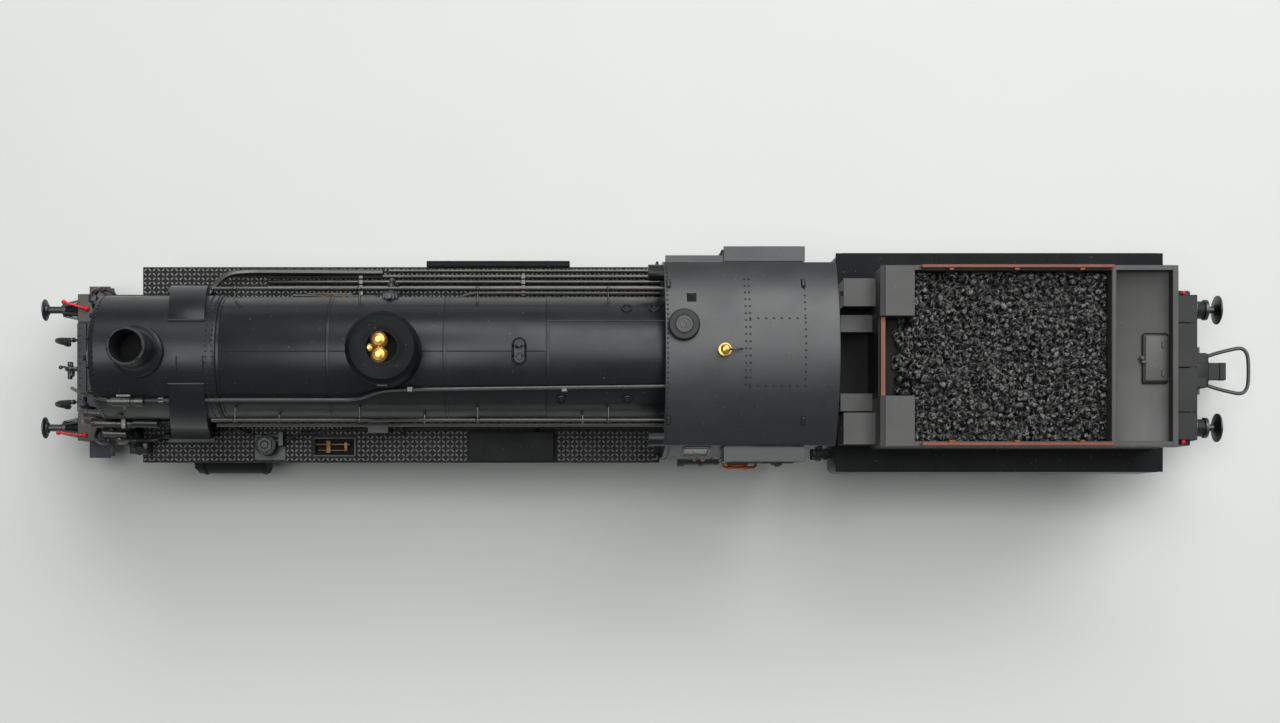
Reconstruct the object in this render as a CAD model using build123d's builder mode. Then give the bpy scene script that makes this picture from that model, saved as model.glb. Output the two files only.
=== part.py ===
"""Scale model of a 2-8-0 steam locomotive with a three-axle tender, 16.5 mm gauge, 1:87.

Millimetres. The locomotive faces -X, +Y is its right-hand side, +Z is up.
z = 0 is the underside of the wheel flanges, which is what the model stands on.
The bounding box of the whole model is centred on X = 0 and Y = 0.
"""

import os
from math import atan2, cos, degrees, pi, radians, sin, sqrt

from build123d import *

os.makedirs("parts", exist_ok=True)

# ---------------------------------------------------------------- driving dimensions
# Track and wheels
flange_depth = 0.9
rail_top = flange_depth
wheel_back = 7.2  # half the distance between the backs of two wheels
wheel_width = 2.8
flange_width = 0.9
driver_radius = 8.35
pony_radius = 4.9
tender_wheel_radius = 6.0
driver_axle_radius = 1.25
small_axle_radius = 0.9
running_fit = 0.05  # radial clearance of a shaft in its bearing
thin_bar_radius = 1.6  # bars up to this radius get few flats

# Where the axles are
driver_axles = [-52.1, -33.1, -14.1, 4.9]
main_axle = driver_axles[2]
tender_axles = [40.2, 59.7, 79.2]
driver_z = rail_top + driver_radius
pony_z = rail_top + pony_radius
tender_z = rail_top + tender_wheel_radius

# Layers of the running gear, outwards from the wheel face
wheel_face = wheel_back + wheel_width
boss_face = wheel_face + 0.25
coupling_rod_y = (10.40, 10.95)
pin_cap_y = (11.00, 11.14)
main_rod_y = (11.25, 11.80)
return_crank_y = (11.92, 12.30)
eccentric_rod_y = (12.42, 12.82)
crosshead_y = (11.95, 13.75)
cylinder_y = 12.9
union_link_y = (13.75, 14.0)
lever_y = (14.1, 14.5)

# Crank geometry
crank_throw = 3.75
crank_pin_radius = 0.6
right_crank_angle = 180.0
left_crank_angle = right_crank_angle + 90.0
main_rod_length = 36.0
front_dead_centre = main_axle - crank_throw - main_rod_length
eccentric_radius = 1.3
eccentric_pin_radius = 0.35
crosshead_half_length = 2.2
bar_gap = 1.3  # half the height between the slide bars
bar_thickness = 0.6
bar_fit = 0.05
bracket_x = -43.4
bracket_thickness = 0.7
bracket_y = (12.1, 15.2)
radius_rod_y = (13.5, 14.0)
union_link_length = 9.5
lever_x = front_dead_centre + crank_throw - union_link_length
lever_foot_z = driver_z - 2.4
link_x = -37.5
link_z = driver_z + 6.3
link_foot_z = driver_z + 1.0

# Cylinders, ahead of the combination levers
cylinder_rear = lever_x - 6.3
cylinder_front = cylinder_rear - 12.0
cylinder_radius = 4.8
valve_chest_radius = 2.7
valve_chest_z = driver_z + 6.6
cylinder_cover_radius = 3.6
piston_rod_radius = 0.45
piston_rod_reach = 18.0

# Pony truck, ahead of the cylinders
pony_axle = cylinder_front - 8.6
pony_pivot = pony_axle + 18.5

# Gear train and motor
tooth_module = 0.35
axle_gear_teeth = 18
idler_teeth = 12
gear_width = 2.4
idler_axle_radius = 0.6
idler_z = driver_z + tooth_module * (axle_gear_teeth + idler_teeth) / 2
worm_radius = 1.7
worm_length = 6.0
worm_z = idler_z + tooth_module * (idler_teeth / 2 + 0.85) + worm_radius + 0.1
motor_front = -8.0
motor_rear = 13.0
motor_half = 6.0
shaft_radius = 0.6

# Frames
frame_half_width = 5.5
frame_rear = 25.0
frame_bottom = 7.2
keeper_thickness = 1.0
stretcher_half_width = 8.0
stretcher_thickness = 1.0
bearing_depth = 0.5
brake_block_y = (8.3, 9.7)
brake_block_thickness = 0.8
brake_block_top = driver_z + 4.0

# Front end
beam_front = pony_axle - 10.6
beam_thickness = 1.2
beam_half_width = 12.3
beam_height = 5.4
buffer_z = rail_top + 12.2
buffer_y = 10.05
front_buffer_reach = 6.6
front_buffer_radius = 1.95
rear_buffer_reach = 4.6
rear_buffer_radius = 2.15
buffer_stem_radius = 0.6
deck_z = buffer_z + beam_height / 2
deck_thickness = 0.7

# Running boards
board_top = rail_top + 19.5
board_thickness = 0.7
board_inner = 6.4
frame_top = board_top - board_thickness
board_half_width = 16.25
board_front = cylinder_front - 7.1
toolbox_x = (-30.6, -16.8)
toolbox_inner = 11.4
toolbox_height = 2.2
edge_box_x = (-37.8, -14.0)
edge_box_reach = 0.95
board_pipe_rows = (14.5, 13.6, 12.7)
board_pipe_radius = 0.35
pipe_bracket_x = (-48.6, -21.7)

# Boiler
boiler_z = rail_top + 31.0
boiler_radius = 9.6
boiler_wall = 1.0
smokebox_radius = 9.75
smokebox_front = board_front - 3.1
smokebox_rear = smokebox_front + 19.3
firebox_front = -16.7
chimney_x = smokebox_front + 7.6
chimney_top = rail_top + 48.3
chimney_radius = 2.9
flue_radius = 2.5
dome_x = -42.4
dome_top = rail_top + 46.8
dome_radius = 5.6
dome_mouth_radius = 2.6
dome_mouth_depth = 2.6
whistle_x = 9.6
casing_front = smokebox_front + 10.9
casing_length = 6.6
rail_z = boiler_z + 5.0
rail_y = 10.3
rail_radius = 0.3
rail_posts = (smokebox_rear + 2.3, -47.0, -28.5, -8.0)
ejector_rod_y = -7.3
ejector_rod_gap = 0.5
air_pump_place = (smokebox_front + 0.1, -11.6)
lubricator_place = (smokebox_rear + 4.7, -13.5)

# Cab
cab_front = 0.9
cab_side_rear = 23.0
cab_half_width = 15.7
cab_wall = 0.7
eaves_z = rail_top + 36.3
roof_half_width = 14.3
roof_rise = 5.1
roof_thickness = 0.6
roof_rear = 27.4
bay_front = 10.2
bay_rear = 22.5
bay_depth = 1.0
bay_height = 7.0
hood_reach = 2.6
hood_radius = 1.3
hood_y = 13.0
ventilator_place = (3.4, 3.9)
ventilator_radius = 2.3
cab_step_x = (17.4, 22.6)
tender_step_x = (31.4, 34.8)
step_y = (13.1, 15.4)
step_heights = (5.6, 11.6)
step_thickness = 0.6

# Tender
tank_front = 29.6
tank_rear = 83.4
tank_half_width = 18.0
tank_bottom = rail_top + 14.1
tank_top = rail_top + 23.2
tank_wall = 0.8
bunker_front = 34.9
bunker_rear = 82.0
bunker_half_width = 14.3
bunker_top = tank_top + 10.8
bunker_wall = 0.7
coal_rear = 71.5
locker_rear = 40.3
locker_inner = 6.35
rear_deck_z = bunker_top - 2.4
tender_beam_rear = 92.1
side_frame_y = (12.3, 13.1)
side_frame_bottom = rail_top + 3.6

# Couplings
drawbar_front_x = 23.4
drawbar_rear_x = 33.0
drawbar_z = 11.2
drawbar_thickness = 0.8
slot_half_height = 0.8
pivot_pin_radius = 0.9
pony_plate_bottom = 4.6
pony_plate_top = frame_bottom - 0.3
coupler_z = rail_top + 8.6
coupler_pivot_x = 87.2
loop_rear = 103.7
loop_pivot_x = 94.6


def write(builder, name):
    """Labels the finished piece and writes it as one STEP file."""
    builder.part.label = name
    export_step(builder.part, f"parts/{name}.step")


def write_group(builders, name):
    """Several separate solids in one node, such as two wheels on their axle."""
    solids = [solid for builder in builders for solid in builder.part.solids()]
    export_step(Compound(label=name, children=solids), f"parts/{name}.step")


def side_plane(y):
    """A plane seen from the left-hand side: its x is +X, its y is +Z, and it extrudes towards -Y."""
    return Plane(origin=(0, y, 0), x_dir=(1, 0, 0), z_dir=(0, -1, 0))


def cross_plane(x):
    """A plane across the model: its x is +Y, its y is +Z, and it extrudes towards +X."""
    return Plane(origin=(x, 0, 0), x_dir=(0, 1, 0), z_dir=(1, 0, 0))


def flat_plane(z):
    """A level plane at height z that extrudes upwards."""
    return Plane.XY.offset(z)


def round_section(x, y, radius, hole=False, mode=Mode.ADD):
    """A disc in the open sketch. Thin bars are octagons or twelve-sided, and so are their holes.

    The flats of a hole lie on its circle, so a bar turns freely in it at every angle.
    """
    with Locations((x, y)):
        if radius > thin_bar_radius:
            Circle(radius, mode=mode)
        else:
            sides = 8 if radius < thin_bar_radius / 2 else 12
            RegularPolygon(radius / cos(pi / sides) if hole else radius, sides, mode=mode)


def box(x0, x1, y0, y1, z0, z1, mode=Mode.ADD):
    """A box between two corners, in the part builder that is open."""
    with BuildSketch(flat_plane(z0)) as base:
        with Locations(((x0 + x1) / 2, (y0 + y1) / 2)):
            Rectangle(x1 - x0, y1 - y0)
    extrude(base.sketch, amount=z1 - z0, mode=mode)


def side_rod(x, z, y0, y1, radius, mode=Mode.ADD):
    """A round bar along Y from y0 to y1, at x, z."""
    with BuildSketch(side_plane(y1)) as end:
        round_section(x, z, radius, hole=mode == Mode.SUBTRACT)
    extrude(end.sketch, amount=y1 - y0, mode=mode)


def length_rod(x0, x1, y, z, radius, mode=Mode.ADD):
    """A round bar along X from x0 to x1, at y, z."""
    with BuildSketch(cross_plane(x0)) as end:
        round_section(y, z, radius, hole=mode == Mode.SUBTRACT)
    extrude(end.sketch, amount=x1 - x0, mode=mode)


def upright_rod(x, y, z0, z1, radius, mode=Mode.ADD):
    """A round bar along Z from z0 to z1, at x, y."""
    with BuildSketch(flat_plane(z0)) as end:
        round_section(x, y, radius, hole=mode == Mode.SUBTRACT)
    extrude(end.sketch, amount=z1 - z0, mode=mode)


# ---------------------------------------------------------------- wheels and axles
spokes = 12
hub_radius = 2.2
spoke_half_width = 0.45
rim_inner_radius = 7.1


def crank_place(angle):
    """Offset of a crank pin from its axle, in X and Z."""
    return crank_throw * cos(radians(angle)), crank_throw * sin(radians(angle))


def eccentric_place(crank_angle):
    """Offset of the return crank's pin from the main axle, a quarter turn behind the crank."""
    angle = radians(crank_angle - 90)
    return eccentric_radius * cos(angle), eccentric_radius * sin(angle)


def tread(x, z, radius, side):
    """Tyre with its flange, turned about the axle. side is 1 on the right and -1 on the left."""
    with BuildSketch(Plane(origin=(x, 0, z))) as half_section:
        Polygon(
            (0, side * wheel_back),
            (radius + flange_depth, side * wheel_back),
            (radius, side * (wheel_back + flange_width)),
            (radius, side * wheel_face),
            (0, side * wheel_face),
            align=None,
        )
    revolve(half_section.sketch, axis=Axis((x, 0, z), (0, 1, 0)))


def spoke_window(turn):
    """Corners of the opening between two spokes, whose middle lies at the angle turn."""
    near, far = hub_radius + 0.5, rim_inner_radius
    half_turn = radians(180 / spokes)
    half_near = near * sin(half_turn) - spoke_half_width * 0.8
    half_far = far * sin(half_turn) - spoke_half_width
    flat = [(near, -half_near), (far, -half_far), (far, half_far), (near, half_near)]
    c, s = cos(radians(turn)), sin(radians(turn))
    return [(a * c - b * s, a * s + b * c) for a, b in flat]


def driver_wheel(x, side, crank_angle, weighted):
    """Spoked wheel with crank boss. weighted is how many windows the balance weight fills."""
    crank_x, crank_z = crank_place(crank_angle)
    tread(x, driver_z, driver_radius, side)
    with BuildSketch(side_plane(side * wheel_face)) as windows:
        for k in range(spokes):
            turn = (k + 0.5) * 360 / spokes
            from_crank = min(turn, 360 - turn)
            if 360 / spokes < from_crank < 180 - weighted * 180 / spokes:
                with Locations((x, driver_z)):
                    Polygon(*spoke_window(crank_angle + turn), align=None)
    extrude(windows.sketch, amount=side * wheel_width, mode=Mode.SUBTRACT)
    with BuildSketch(side_plane(side * boss_face)) as boss:
        with Locations((x, driver_z)):
            RegularPolygon(hub_radius, 12)
        with Locations((x + crank_x, driver_z + crank_z)):
            RegularPolygon(hub_radius - 0.7, 12)
        with Locations((x + crank_x / 2, driver_z + crank_z / 2)):
            Rectangle(crank_throw, 2.6, rotation=crank_angle)
    extrude(boss.sketch, amount=side * (boss_face - wheel_face + 0.5))


def crank_pin(x, side, crank_angle, is_main):
    """Crank pin on the wheel's boss. The main pin carries the return crank, the others a hexagon cap."""
    crank_x, crank_z = crank_place(crank_angle)
    near, far = x + crank_x, driver_z + crank_z
    last = return_crank_y[0] if is_main else pin_cap_y[0]
    side_rod(near, far, *sorted((side * boss_face, side * last)), crank_pin_radius)
    if not is_main:
        with BuildSketch(side_plane(side * pin_cap_y[1])) as cap:
            with Locations((near, far)):
                RegularPolygon(crank_pin_radius + 0.4, 6)
        extrude(cap.sketch, amount=side * (pin_cap_y[1] - pin_cap_y[0]))


def return_crank(side, crank_angle):
    """Arm on the end of the main crank pin; its own pin runs on a small circle about the axle."""
    crank_x, crank_z = crank_place(crank_angle)
    pin_x, pin_z = eccentric_place(crank_angle)
    middle = (main_axle + (crank_x + pin_x) / 2, driver_z + (crank_z + pin_z) / 2)
    reach = sqrt((crank_x - pin_x) ** 2 + (crank_z - pin_z) ** 2)
    lean = degrees(atan2(pin_z - crank_z, pin_x - crank_x))
    with BuildSketch(side_plane(side * return_crank_y[1])) as arm:
        with Locations(middle):
            Rectangle(reach + 1.4, 2 * crank_pin_radius + 0.3, rotation=lean)
    extrude(arm.sketch, amount=side * (return_crank_y[1] - return_crank_y[0]))
    pin_ends = sorted((side * return_crank_y[1], side * eccentric_rod_y[1]))
    side_rod(main_axle + pin_x, driver_z + pin_z, *pin_ends, eccentric_pin_radius)


def toothed_wheel(x, z, teeth, bore, phase):
    """Spur gear with straight-flanked teeth, centred on Y = 0. phase is in teeth."""
    pitch = tooth_module * teeth / 2
    root, tip = pitch - 1.2 * tooth_module, pitch + 0.85 * tooth_module
    wide, narrow = 0.8 * tooth_module, 0.4 * tooth_module
    with BuildPart() as gear:
        with BuildSketch(side_plane(gear_width / 2)):
            with BuildLine():
                corners = []
                for k in range(teeth):
                    turn = radians(360 * (k + phase) / teeth)
                    for radius, half in ((root, -wide), (tip, -narrow), (tip, narrow), (root, wide)):
                        angle = turn + half / radius
                        corners.append((x + radius * cos(angle), z + radius * sin(angle)))
                Polyline(*corners, close=True)
            make_face()
            round_section(x, z, bore, mode=Mode.SUBTRACT)
        extrude(amount=gear_width)
    return gear


def driver_wheelset(number):
    """Two spoked wheels, quartered, on one axle, with crank pins; the main one carries the gear."""
    x = driver_axles[number - 1]
    is_main = x == main_axle
    with BuildPart() as wheels:
        side_rod(x, driver_z, -wheel_face, wheel_face, driver_axle_radius)
        for side, angle in ((1, right_crank_angle), (-1, left_crank_angle)):
            driver_wheel(x, side, angle, 3 if is_main else 1)
            crank_pin(x, side, angle, is_main)
            if is_main:
                return_crank(side, angle)
    pieces = [wheels]
    if is_main:
        pieces.append(toothed_wheel(x, driver_z, axle_gear_teeth, driver_axle_radius, 0))
    write_group(pieces, f"driver_wheelset_{number}")


def small_wheelset(x, z, radius, axle_end, name):
    """Two disc wheels on one axle, whose ends run in bearings outside or inside the wheels."""
    with BuildPart() as wheels:
        side_rod(x, z, -axle_end, axle_end, small_axle_radius)
        for side in (1, -1):
            tread(x, z, radius, side)
    write(wheels, name)


for number in range(1, len(driver_axles) + 1):
    driver_wheelset(number)
small_wheelset(pony_axle, pony_z, pony_radius, wheel_face, "pony_wheelset")
for number, x in enumerate(tender_axles, start=1):
    small_wheelset(x, tender_z, tender_wheel_radius, side_frame_y[0] + bearing_depth, f"tender_wheelset_{number}")

with BuildPart() as idler_axle:
    side_rod(main_axle, idler_z, -frame_half_width + 1, frame_half_width - 1, idler_axle_radius)
idler = toothed_wheel(main_axle, idler_z, idler_teeth, idler_axle_radius, 0)
write_group([idler_axle, idler], "idler_gear")


# ---------------------------------------------------------------- rods and motion
def rod_blank(stations, z_of, side, layer, height, eye_radius, bore):
    """Flat rod with an eye at each station (x) on the line z_of(x), bored for its pins."""
    ordered = sorted(stations)
    inner, outer = layer
    with BuildPart() as rod:
        with BuildSketch(side_plane(side * outer)):
            for first, last in zip(ordered, ordered[1:]):
                z0, z1 = z_of(first), z_of(last)
                with Locations(((first + last) / 2, (z0 + z1) / 2)):
                    lean = degrees(atan2(z1 - z0, last - first))
                    Rectangle(sqrt((last - first) ** 2 + (z1 - z0) ** 2), height, rotation=lean)
            for x in ordered:
                round_section(x, z_of(x), eye_radius)
            for x in ordered:
                round_section(x, z_of(x), bore, hole=True, mode=Mode.SUBTRACT)
        extrude(amount=side * (outer - inner))
    return rod


def line_between(x0, z0, x1, z1):
    """Height at x on the straight line through two points."""
    return lambda x: z0 + (z1 - z0) * (x - x0) / (x1 - x0)


pin_bore = crank_pin_radius + running_fit
for side, hand, angle in ((1, "right", right_crank_angle), (-1, "left", left_crank_angle)):
    crank_x, crank_z = crank_place(angle)
    pins = [x + crank_x for x in driver_axles]
    rod = rod_blank(pins, lambda x: driver_z + crank_z, side, coupling_rod_y, 1.2, 1.25, pin_bore)
    write(rod, f"coupling_rod_{hand}")

    big_end = (main_axle + crank_x, driver_z + crank_z)
    small_end_x = big_end[0] - sqrt(main_rod_length**2 - crank_z**2)
    slope = line_between(small_end_x, driver_z, *big_end)
    rod = rod_blank([small_end_x, big_end[0]], slope, side, main_rod_y, 1.3, 1.2, pin_bore)
    write(rod, f"main_rod_{hand}")

    pin_x, pin_z = eccentric_place(angle)
    slope = line_between(link_x, link_foot_z, main_axle + pin_x, driver_z + pin_z)
    bore = eccentric_pin_radius + running_fit
    rod = rod_blank([link_x, main_axle + pin_x], slope, side, eccentric_rod_y, 0.8, 0.75, bore)
    write(rod, f"eccentric_rod_{hand}")

    # crosshead between its bars, with the piston rod in front and the union link on its drop arm
    near, far = sorted(side * y for y in crosshead_y)
    with BuildPart() as crosshead:
        rear = small_end_x + crosshead_half_length
        box(rear - 2 * crosshead_half_length, rear, near, far, driver_z - bar_gap, driver_z + bar_gap)
        front = small_end_x - crosshead_half_length
        length_rod(front - piston_rod_reach, front, side * cylinder_y, driver_z, piston_rod_radius)
        arm = sorted((side * crosshead_y[1], side * union_link_y[1]))
        box(small_end_x - 0.5, small_end_x + 0.5, *arm, lever_foot_z - 0.4, driver_z + bar_gap)
        link = sorted(side * y for y in union_link_y)
        box(small_end_x - union_link_length, small_end_x, *link, lever_foot_z - 0.4, lever_foot_z + 0.4)
    write(crosshead, f"crosshead_{hand}")

    # curved link, rocking on trunnions in the motion bracket
    with BuildPart() as link:
        with BuildSketch(side_plane(side * lever_y[1])):
            with Locations((link_x, link_z)):
                Rectangle(1.6, 6.0)
                Rectangle(0.6, 4.4, mode=Mode.SUBTRACT)
            with Locations((link_x, (link_z - 3.0 + link_foot_z) / 2 - 0.1)):
                Rectangle(0.9, link_z - 3.0 - link_foot_z + 1.0)
        extrude(amount=side * (lever_y[1] - lever_y[0]))
        ends = sorted((side * (eccentric_rod_y[1] + 0.1), side * lever_y[0]))
        side_rod(link_x, link_foot_z, *ends, 0.4)
    write(link, f"expansion_link_{hand}")

    # lever hung from the valve rod, driven at its foot by the union link
    foot_x = small_end_x - union_link_length
    with BuildPart() as lever:
        with BuildSketch(side_plane(side * lever_y[1])):
            round_section(lever_x, valve_chest_z, 0.6)
            lean = degrees(atan2(lever_foot_z - valve_chest_z, foot_x - lever_x))
            reach = sqrt((lever_foot_z - valve_chest_z) ** 2 + (foot_x - lever_x) ** 2)
            with Locations(((lever_x + foot_x) / 2, (valve_chest_z + lever_foot_z) / 2)):
                Rectangle(reach + 0.7, 0.7, rotation=lean)
            round_section(lever_x, valve_chest_z, 0.3 + running_fit, hole=True, mode=Mode.SUBTRACT)
        extrude(amount=side * (lever_y[1] - lever_y[0]))
    write(lever, f"combination_lever_{hand}")


# ---------------------------------------------------------------- locomotive frame
pony_clear_z = pony_z + pony_radius + flange_depth + 0.9
motor_pocket_z = worm_z - motor_half - 0.1

with BuildPart() as main_frame:
    half = frame_half_width
    box(cylinder_front - 1, frame_rear, -half, half, frame_bottom, frame_top - stretcher_thickness)
    box(smokebox_front, cylinder_front, -half, half, pony_clear_z, frame_top - stretcher_thickness)
    box(beam_front + beam_thickness, smokebox_front, -half, half, pony_clear_z, deck_z - deck_thickness)
    width = stretcher_half_width
    box(board_front, frame_rear, -width, width, frame_top - stretcher_thickness, frame_top)
    # axle slots, open below
    with BuildSketch(side_plane(half)):
        for x in driver_axles:
            round_section(x, driver_z, driver_axle_radius + running_fit, hole=True)
            with Locations((x, (driver_z + frame_bottom) / 2)):
                Rectangle(2 * (driver_axle_radius + running_fit), driver_z - frame_bottom)
        # lightening windows between the axles
        for front, rear in zip(driver_axles, driver_axles[1:]):
            with Locations(((front + rear) / 2, driver_z + 2.2)):
                Rectangle(rear - front - 7.0, 3.6)
    extrude(amount=2 * half, mode=Mode.SUBTRACT)
    # wells for the gears, the worm and the motor
    box(main_axle - 4.2, main_axle + 4.2, -gear_width / 2 - 0.3, gear_width / 2 + 0.3,
        frame_bottom, frame_top, mode=Mode.SUBTRACT)
    reach = worm_radius + 0.3
    box(main_axle - worm_length / 2 - 0.5, motor_front, -reach, reach, worm_z - reach, frame_top,
        mode=Mode.SUBTRACT)
    box(motor_front - 0.2, motor_rear + 0.2, -motor_half - 0.1, motor_half + 0.1, motor_pocket_z, frame_top,
        mode=Mode.SUBTRACT)
    side_rod(main_axle, idler_z, -half, half, idler_axle_radius + running_fit, mode=Mode.SUBTRACT)
    # bearing for the nose of the worm shaft
    length_rod(main_axle - worm_length / 2 - 2.5, main_axle, 0, worm_z, shaft_radius + running_fit,
               mode=Mode.SUBTRACT)
    # slot for the drawbar, and the pins that the drawbar and the pony truck turn on
    box(drawbar_front_x - 2.0, frame_rear, -3.4, 3.4, drawbar_z - slot_half_height,
        drawbar_z + slot_half_height, mode=Mode.SUBTRACT)
    upright_rod(drawbar_front_x, 0, drawbar_z - slot_half_height, drawbar_z + slot_half_height,
                pivot_pin_radius)
    upright_rod(pony_pivot, 0, pony_plate_bottom, frame_bottom, pivot_pin_radius)
write(main_frame, "main_frame")

with BuildPart() as keeper_plate:
    half = frame_half_width - 0.2
    front = driver_axles[0] - (driver_axles[1] - driver_axles[0]) / 2 - 1
    box(front, driver_axles[-1] + 8, -half, half, frame_bottom - keeper_thickness, frame_bottom)
    box(main_axle - 3.5, main_axle + 3.5, -gear_width / 2 - 0.3, gear_width / 2 + 0.3,
        frame_bottom - keeper_thickness, frame_bottom, mode=Mode.SUBTRACT)
    # sump under the axle gear
    box(main_axle - 4.3, main_axle + 4.3, -2.4, 2.4, rail_top + 3.6, frame_bottom - keeper_thickness)
    box(main_axle - 3.7, main_axle + 3.7, -1.8, 1.8, rail_top + 4.2, frame_bottom - keeper_thickness,
        mode=Mode.SUBTRACT)
    # brake beams between the wheels, with a block behind each tread
    for rear_axle in driver_axles:
        middle = rear_axle - (driver_axles[1] - driver_axles[0]) / 2
        near, far = middle - brake_block_thickness / 2, middle + brake_block_thickness / 2
        reach = brake_block_y[1]
        box(near, far, -reach, reach, frame_bottom - keeper_thickness, frame_bottom)
        for side in (1, -1):
            span = sorted(side * y for y in brake_block_y)
            box(near, far, *span, frame_bottom, brake_block_top)
write(keeper_plate, "keeper_plate")

with BuildPart() as motor:
    length = motor_rear - motor_front
    with BuildSketch(cross_plane(motor_front)):
        with Locations((0, worm_z)):
            Circle(motor_half + 0.9)
            Rectangle(2 * motor_half, 2 * motor_half, mode=Mode.INTERSECT)
    extrude(amount=length)
    length_rod(motor_front - 0.8, motor_front, 0, worm_z, 1.6)
    length_rod(motor_front - 0.8, motor_front + 3, 0, worm_z, shaft_radius + running_fit, mode=Mode.SUBTRACT)
write(motor, "motor")

with BuildPart() as motor_worm:
    nose = main_axle - worm_length / 2 - 2.0
    length_rod(nose, motor_front + 2.5, 0, worm_z, shaft_radius)
    length_rod(main_axle - worm_length / 2, main_axle + worm_length / 2, 0, worm_z, worm_radius)
write(motor_worm, "motor_worm")

with BuildPart() as circuit_board:
    top = worm_z + motor_half
    box(motor_front + 1, motor_rear - 1, -5.5, 5.5, top, top + 1.0)
    box(motor_front + 3, motor_front + 8, -2.5, 2.5, top + 1.0, top + 2.2)
write(circuit_board, "circuit_board")

with BuildPart() as ballast_weight:
    weight_radius = boiler_radius - boiler_wall - 0.3
    with BuildSketch(cross_plane(driver_axles[0] - 12)):
        with Locations((0, boiler_z)):
            Circle(weight_radius)
        with Locations((0, (boiler_z + frame_top) / 2)):
            Rectangle(10, boiler_z - frame_top)
    extrude(amount=44)
write(ballast_weight, "ballast_weight")

with BuildPart() as pony_truck:
    plate = pony_plate_top
    box(pony_axle - 2, pony_pivot, -1.8, 1.8, plate - 0.9, plate)
    upright_rod(pony_pivot, 0, plate - 0.9, plate, 2.2)
    box(pony_axle - 2, pony_axle + 2, -5.2, 5.2, pony_plate_bottom, plate)
    side_rod(pony_axle, pony_z, -5.2, 5.2, small_axle_radius + running_fit, mode=Mode.SUBTRACT)
    upright_rod(pony_pivot, 0, plate - 0.9, plate, pivot_pin_radius + running_fit, mode=Mode.SUBTRACT)
write(pony_truck, "pony_truck")

# ---------------------------------------------------------------- cylinders and motion brackets
cylinder_builders = []
bar_builders = []
for side in (1, -1):
    with BuildPart() as block:
        with BuildSketch(cross_plane(cylinder_front)):
            with Locations((side * cylinder_y, driver_z)):
                Circle(cylinder_radius)
            with Locations((side * cylinder_y, valve_chest_z)):
                Circle(valve_chest_radius)
            with Locations((side * cylinder_y, (driver_z + valve_chest_z) / 2)):
                Rectangle(2 * valve_chest_radius, valve_chest_z - driver_z)
            near, far = frame_half_width, cylinder_y
            top = frame_top - stretcher_thickness
            with Locations((side * (near + far) / 2, (driver_z + top) / 2)):
                Rectangle(far - near, top - driver_z)
        extrude(amount=cylinder_rear - cylinder_front)
        length_rod(cylinder_front - 0.6, cylinder_front, side * cylinder_y, driver_z, cylinder_cover_radius)
        length_rod(cylinder_front - 0.8, cylinder_front, side * cylinder_y, valve_chest_z, 1.5)
        bore = piston_rod_radius + running_fit
        bore_front = front_dead_centre - crosshead_half_length - piston_rod_reach - 1.0
        length_rod(bore_front, cylinder_rear, side * cylinder_y, driver_z, bore, mode=Mode.SUBTRACT)
    cylinder_builders.append(block)

    near, far = sorted((side * (crosshead_y[0] + 0.3), side * (crosshead_y[1] - 0.3)))
    with BuildPart() as bars:
        low = driver_z - bar_gap - bar_fit - bar_thickness
        high = driver_z + bar_gap + bar_fit
        box(cylinder_rear, bracket_x + bracket_thickness, near, far, low, low + bar_thickness)
        box(cylinder_rear, bracket_x + bracket_thickness, near, far, high, high + bar_thickness)
        near, far = sorted((side * bracket_y[0], side * bracket_y[1]))
        box(bracket_x, bracket_x + bracket_thickness, near, far, low - 0.4, frame_top)
    bar_builders.append(bars)

    # valve rod in its chest, the radius rod behind it and the trunnion of the expansion link
    near, far = sorted((side * radius_rod_y[0], side * radius_rod_y[1]))
    with BuildPart() as radius_rod:
        box(cylinder_rear, link_x, near, far, valve_chest_z - 0.35, valve_chest_z + 0.35)
        ends = sorted((side * radius_rod_y[1], side * lever_y[1]))
        side_rod(lever_x, valve_chest_z, *ends, 0.3)
    bar_builders.append(radius_rod)
write_group(cylinder_builders, "cylinders")
write_group(bar_builders, "slide_bars")

# ---------------------------------------------------------------- boiler
with BuildPart() as boiler:
    with BuildSketch(cross_plane(smokebox_rear)):
        with Locations((0, boiler_z)):
            Circle(boiler_radius)
            Circle(boiler_radius - boiler_wall, mode=Mode.SUBTRACT)
    extrude(amount=cab_front - smokebox_rear)
    # firebox sides reach down to the running boards
    with BuildSketch(cross_plane(firebox_front)):
        with Locations((0, (boiler_z + board_top) / 2)):
            Rectangle(2 * boiler_radius - 0.6, boiler_z - board_top)
            Rectangle(2 * (boiler_radius - boiler_wall), boiler_z - board_top, mode=Mode.SUBTRACT)
    extrude(amount=cab_front - firebox_front)
    # the motor and the weight pass through the underside
    box(driver_axles[0] - 12, cab_front, -motor_half - 0.2, motor_half + 0.2, frame_top, boiler_z - 4,
        mode=Mode.SUBTRACT)
write(boiler, "boiler")

with BuildPart() as smokebox:
    length_rod(smokebox_front, smokebox_rear, 0, boiler_z, smokebox_radius)
    box(chimney_x - 5, chimney_x + 5, -5, 5, frame_top, boiler_z - smokebox_radius + 2)
    upright_rod(chimney_x, 0, boiler_z + 3, chimney_top, flue_radius, mode=Mode.SUBTRACT)
write(smokebox, "smokebox")

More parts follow.
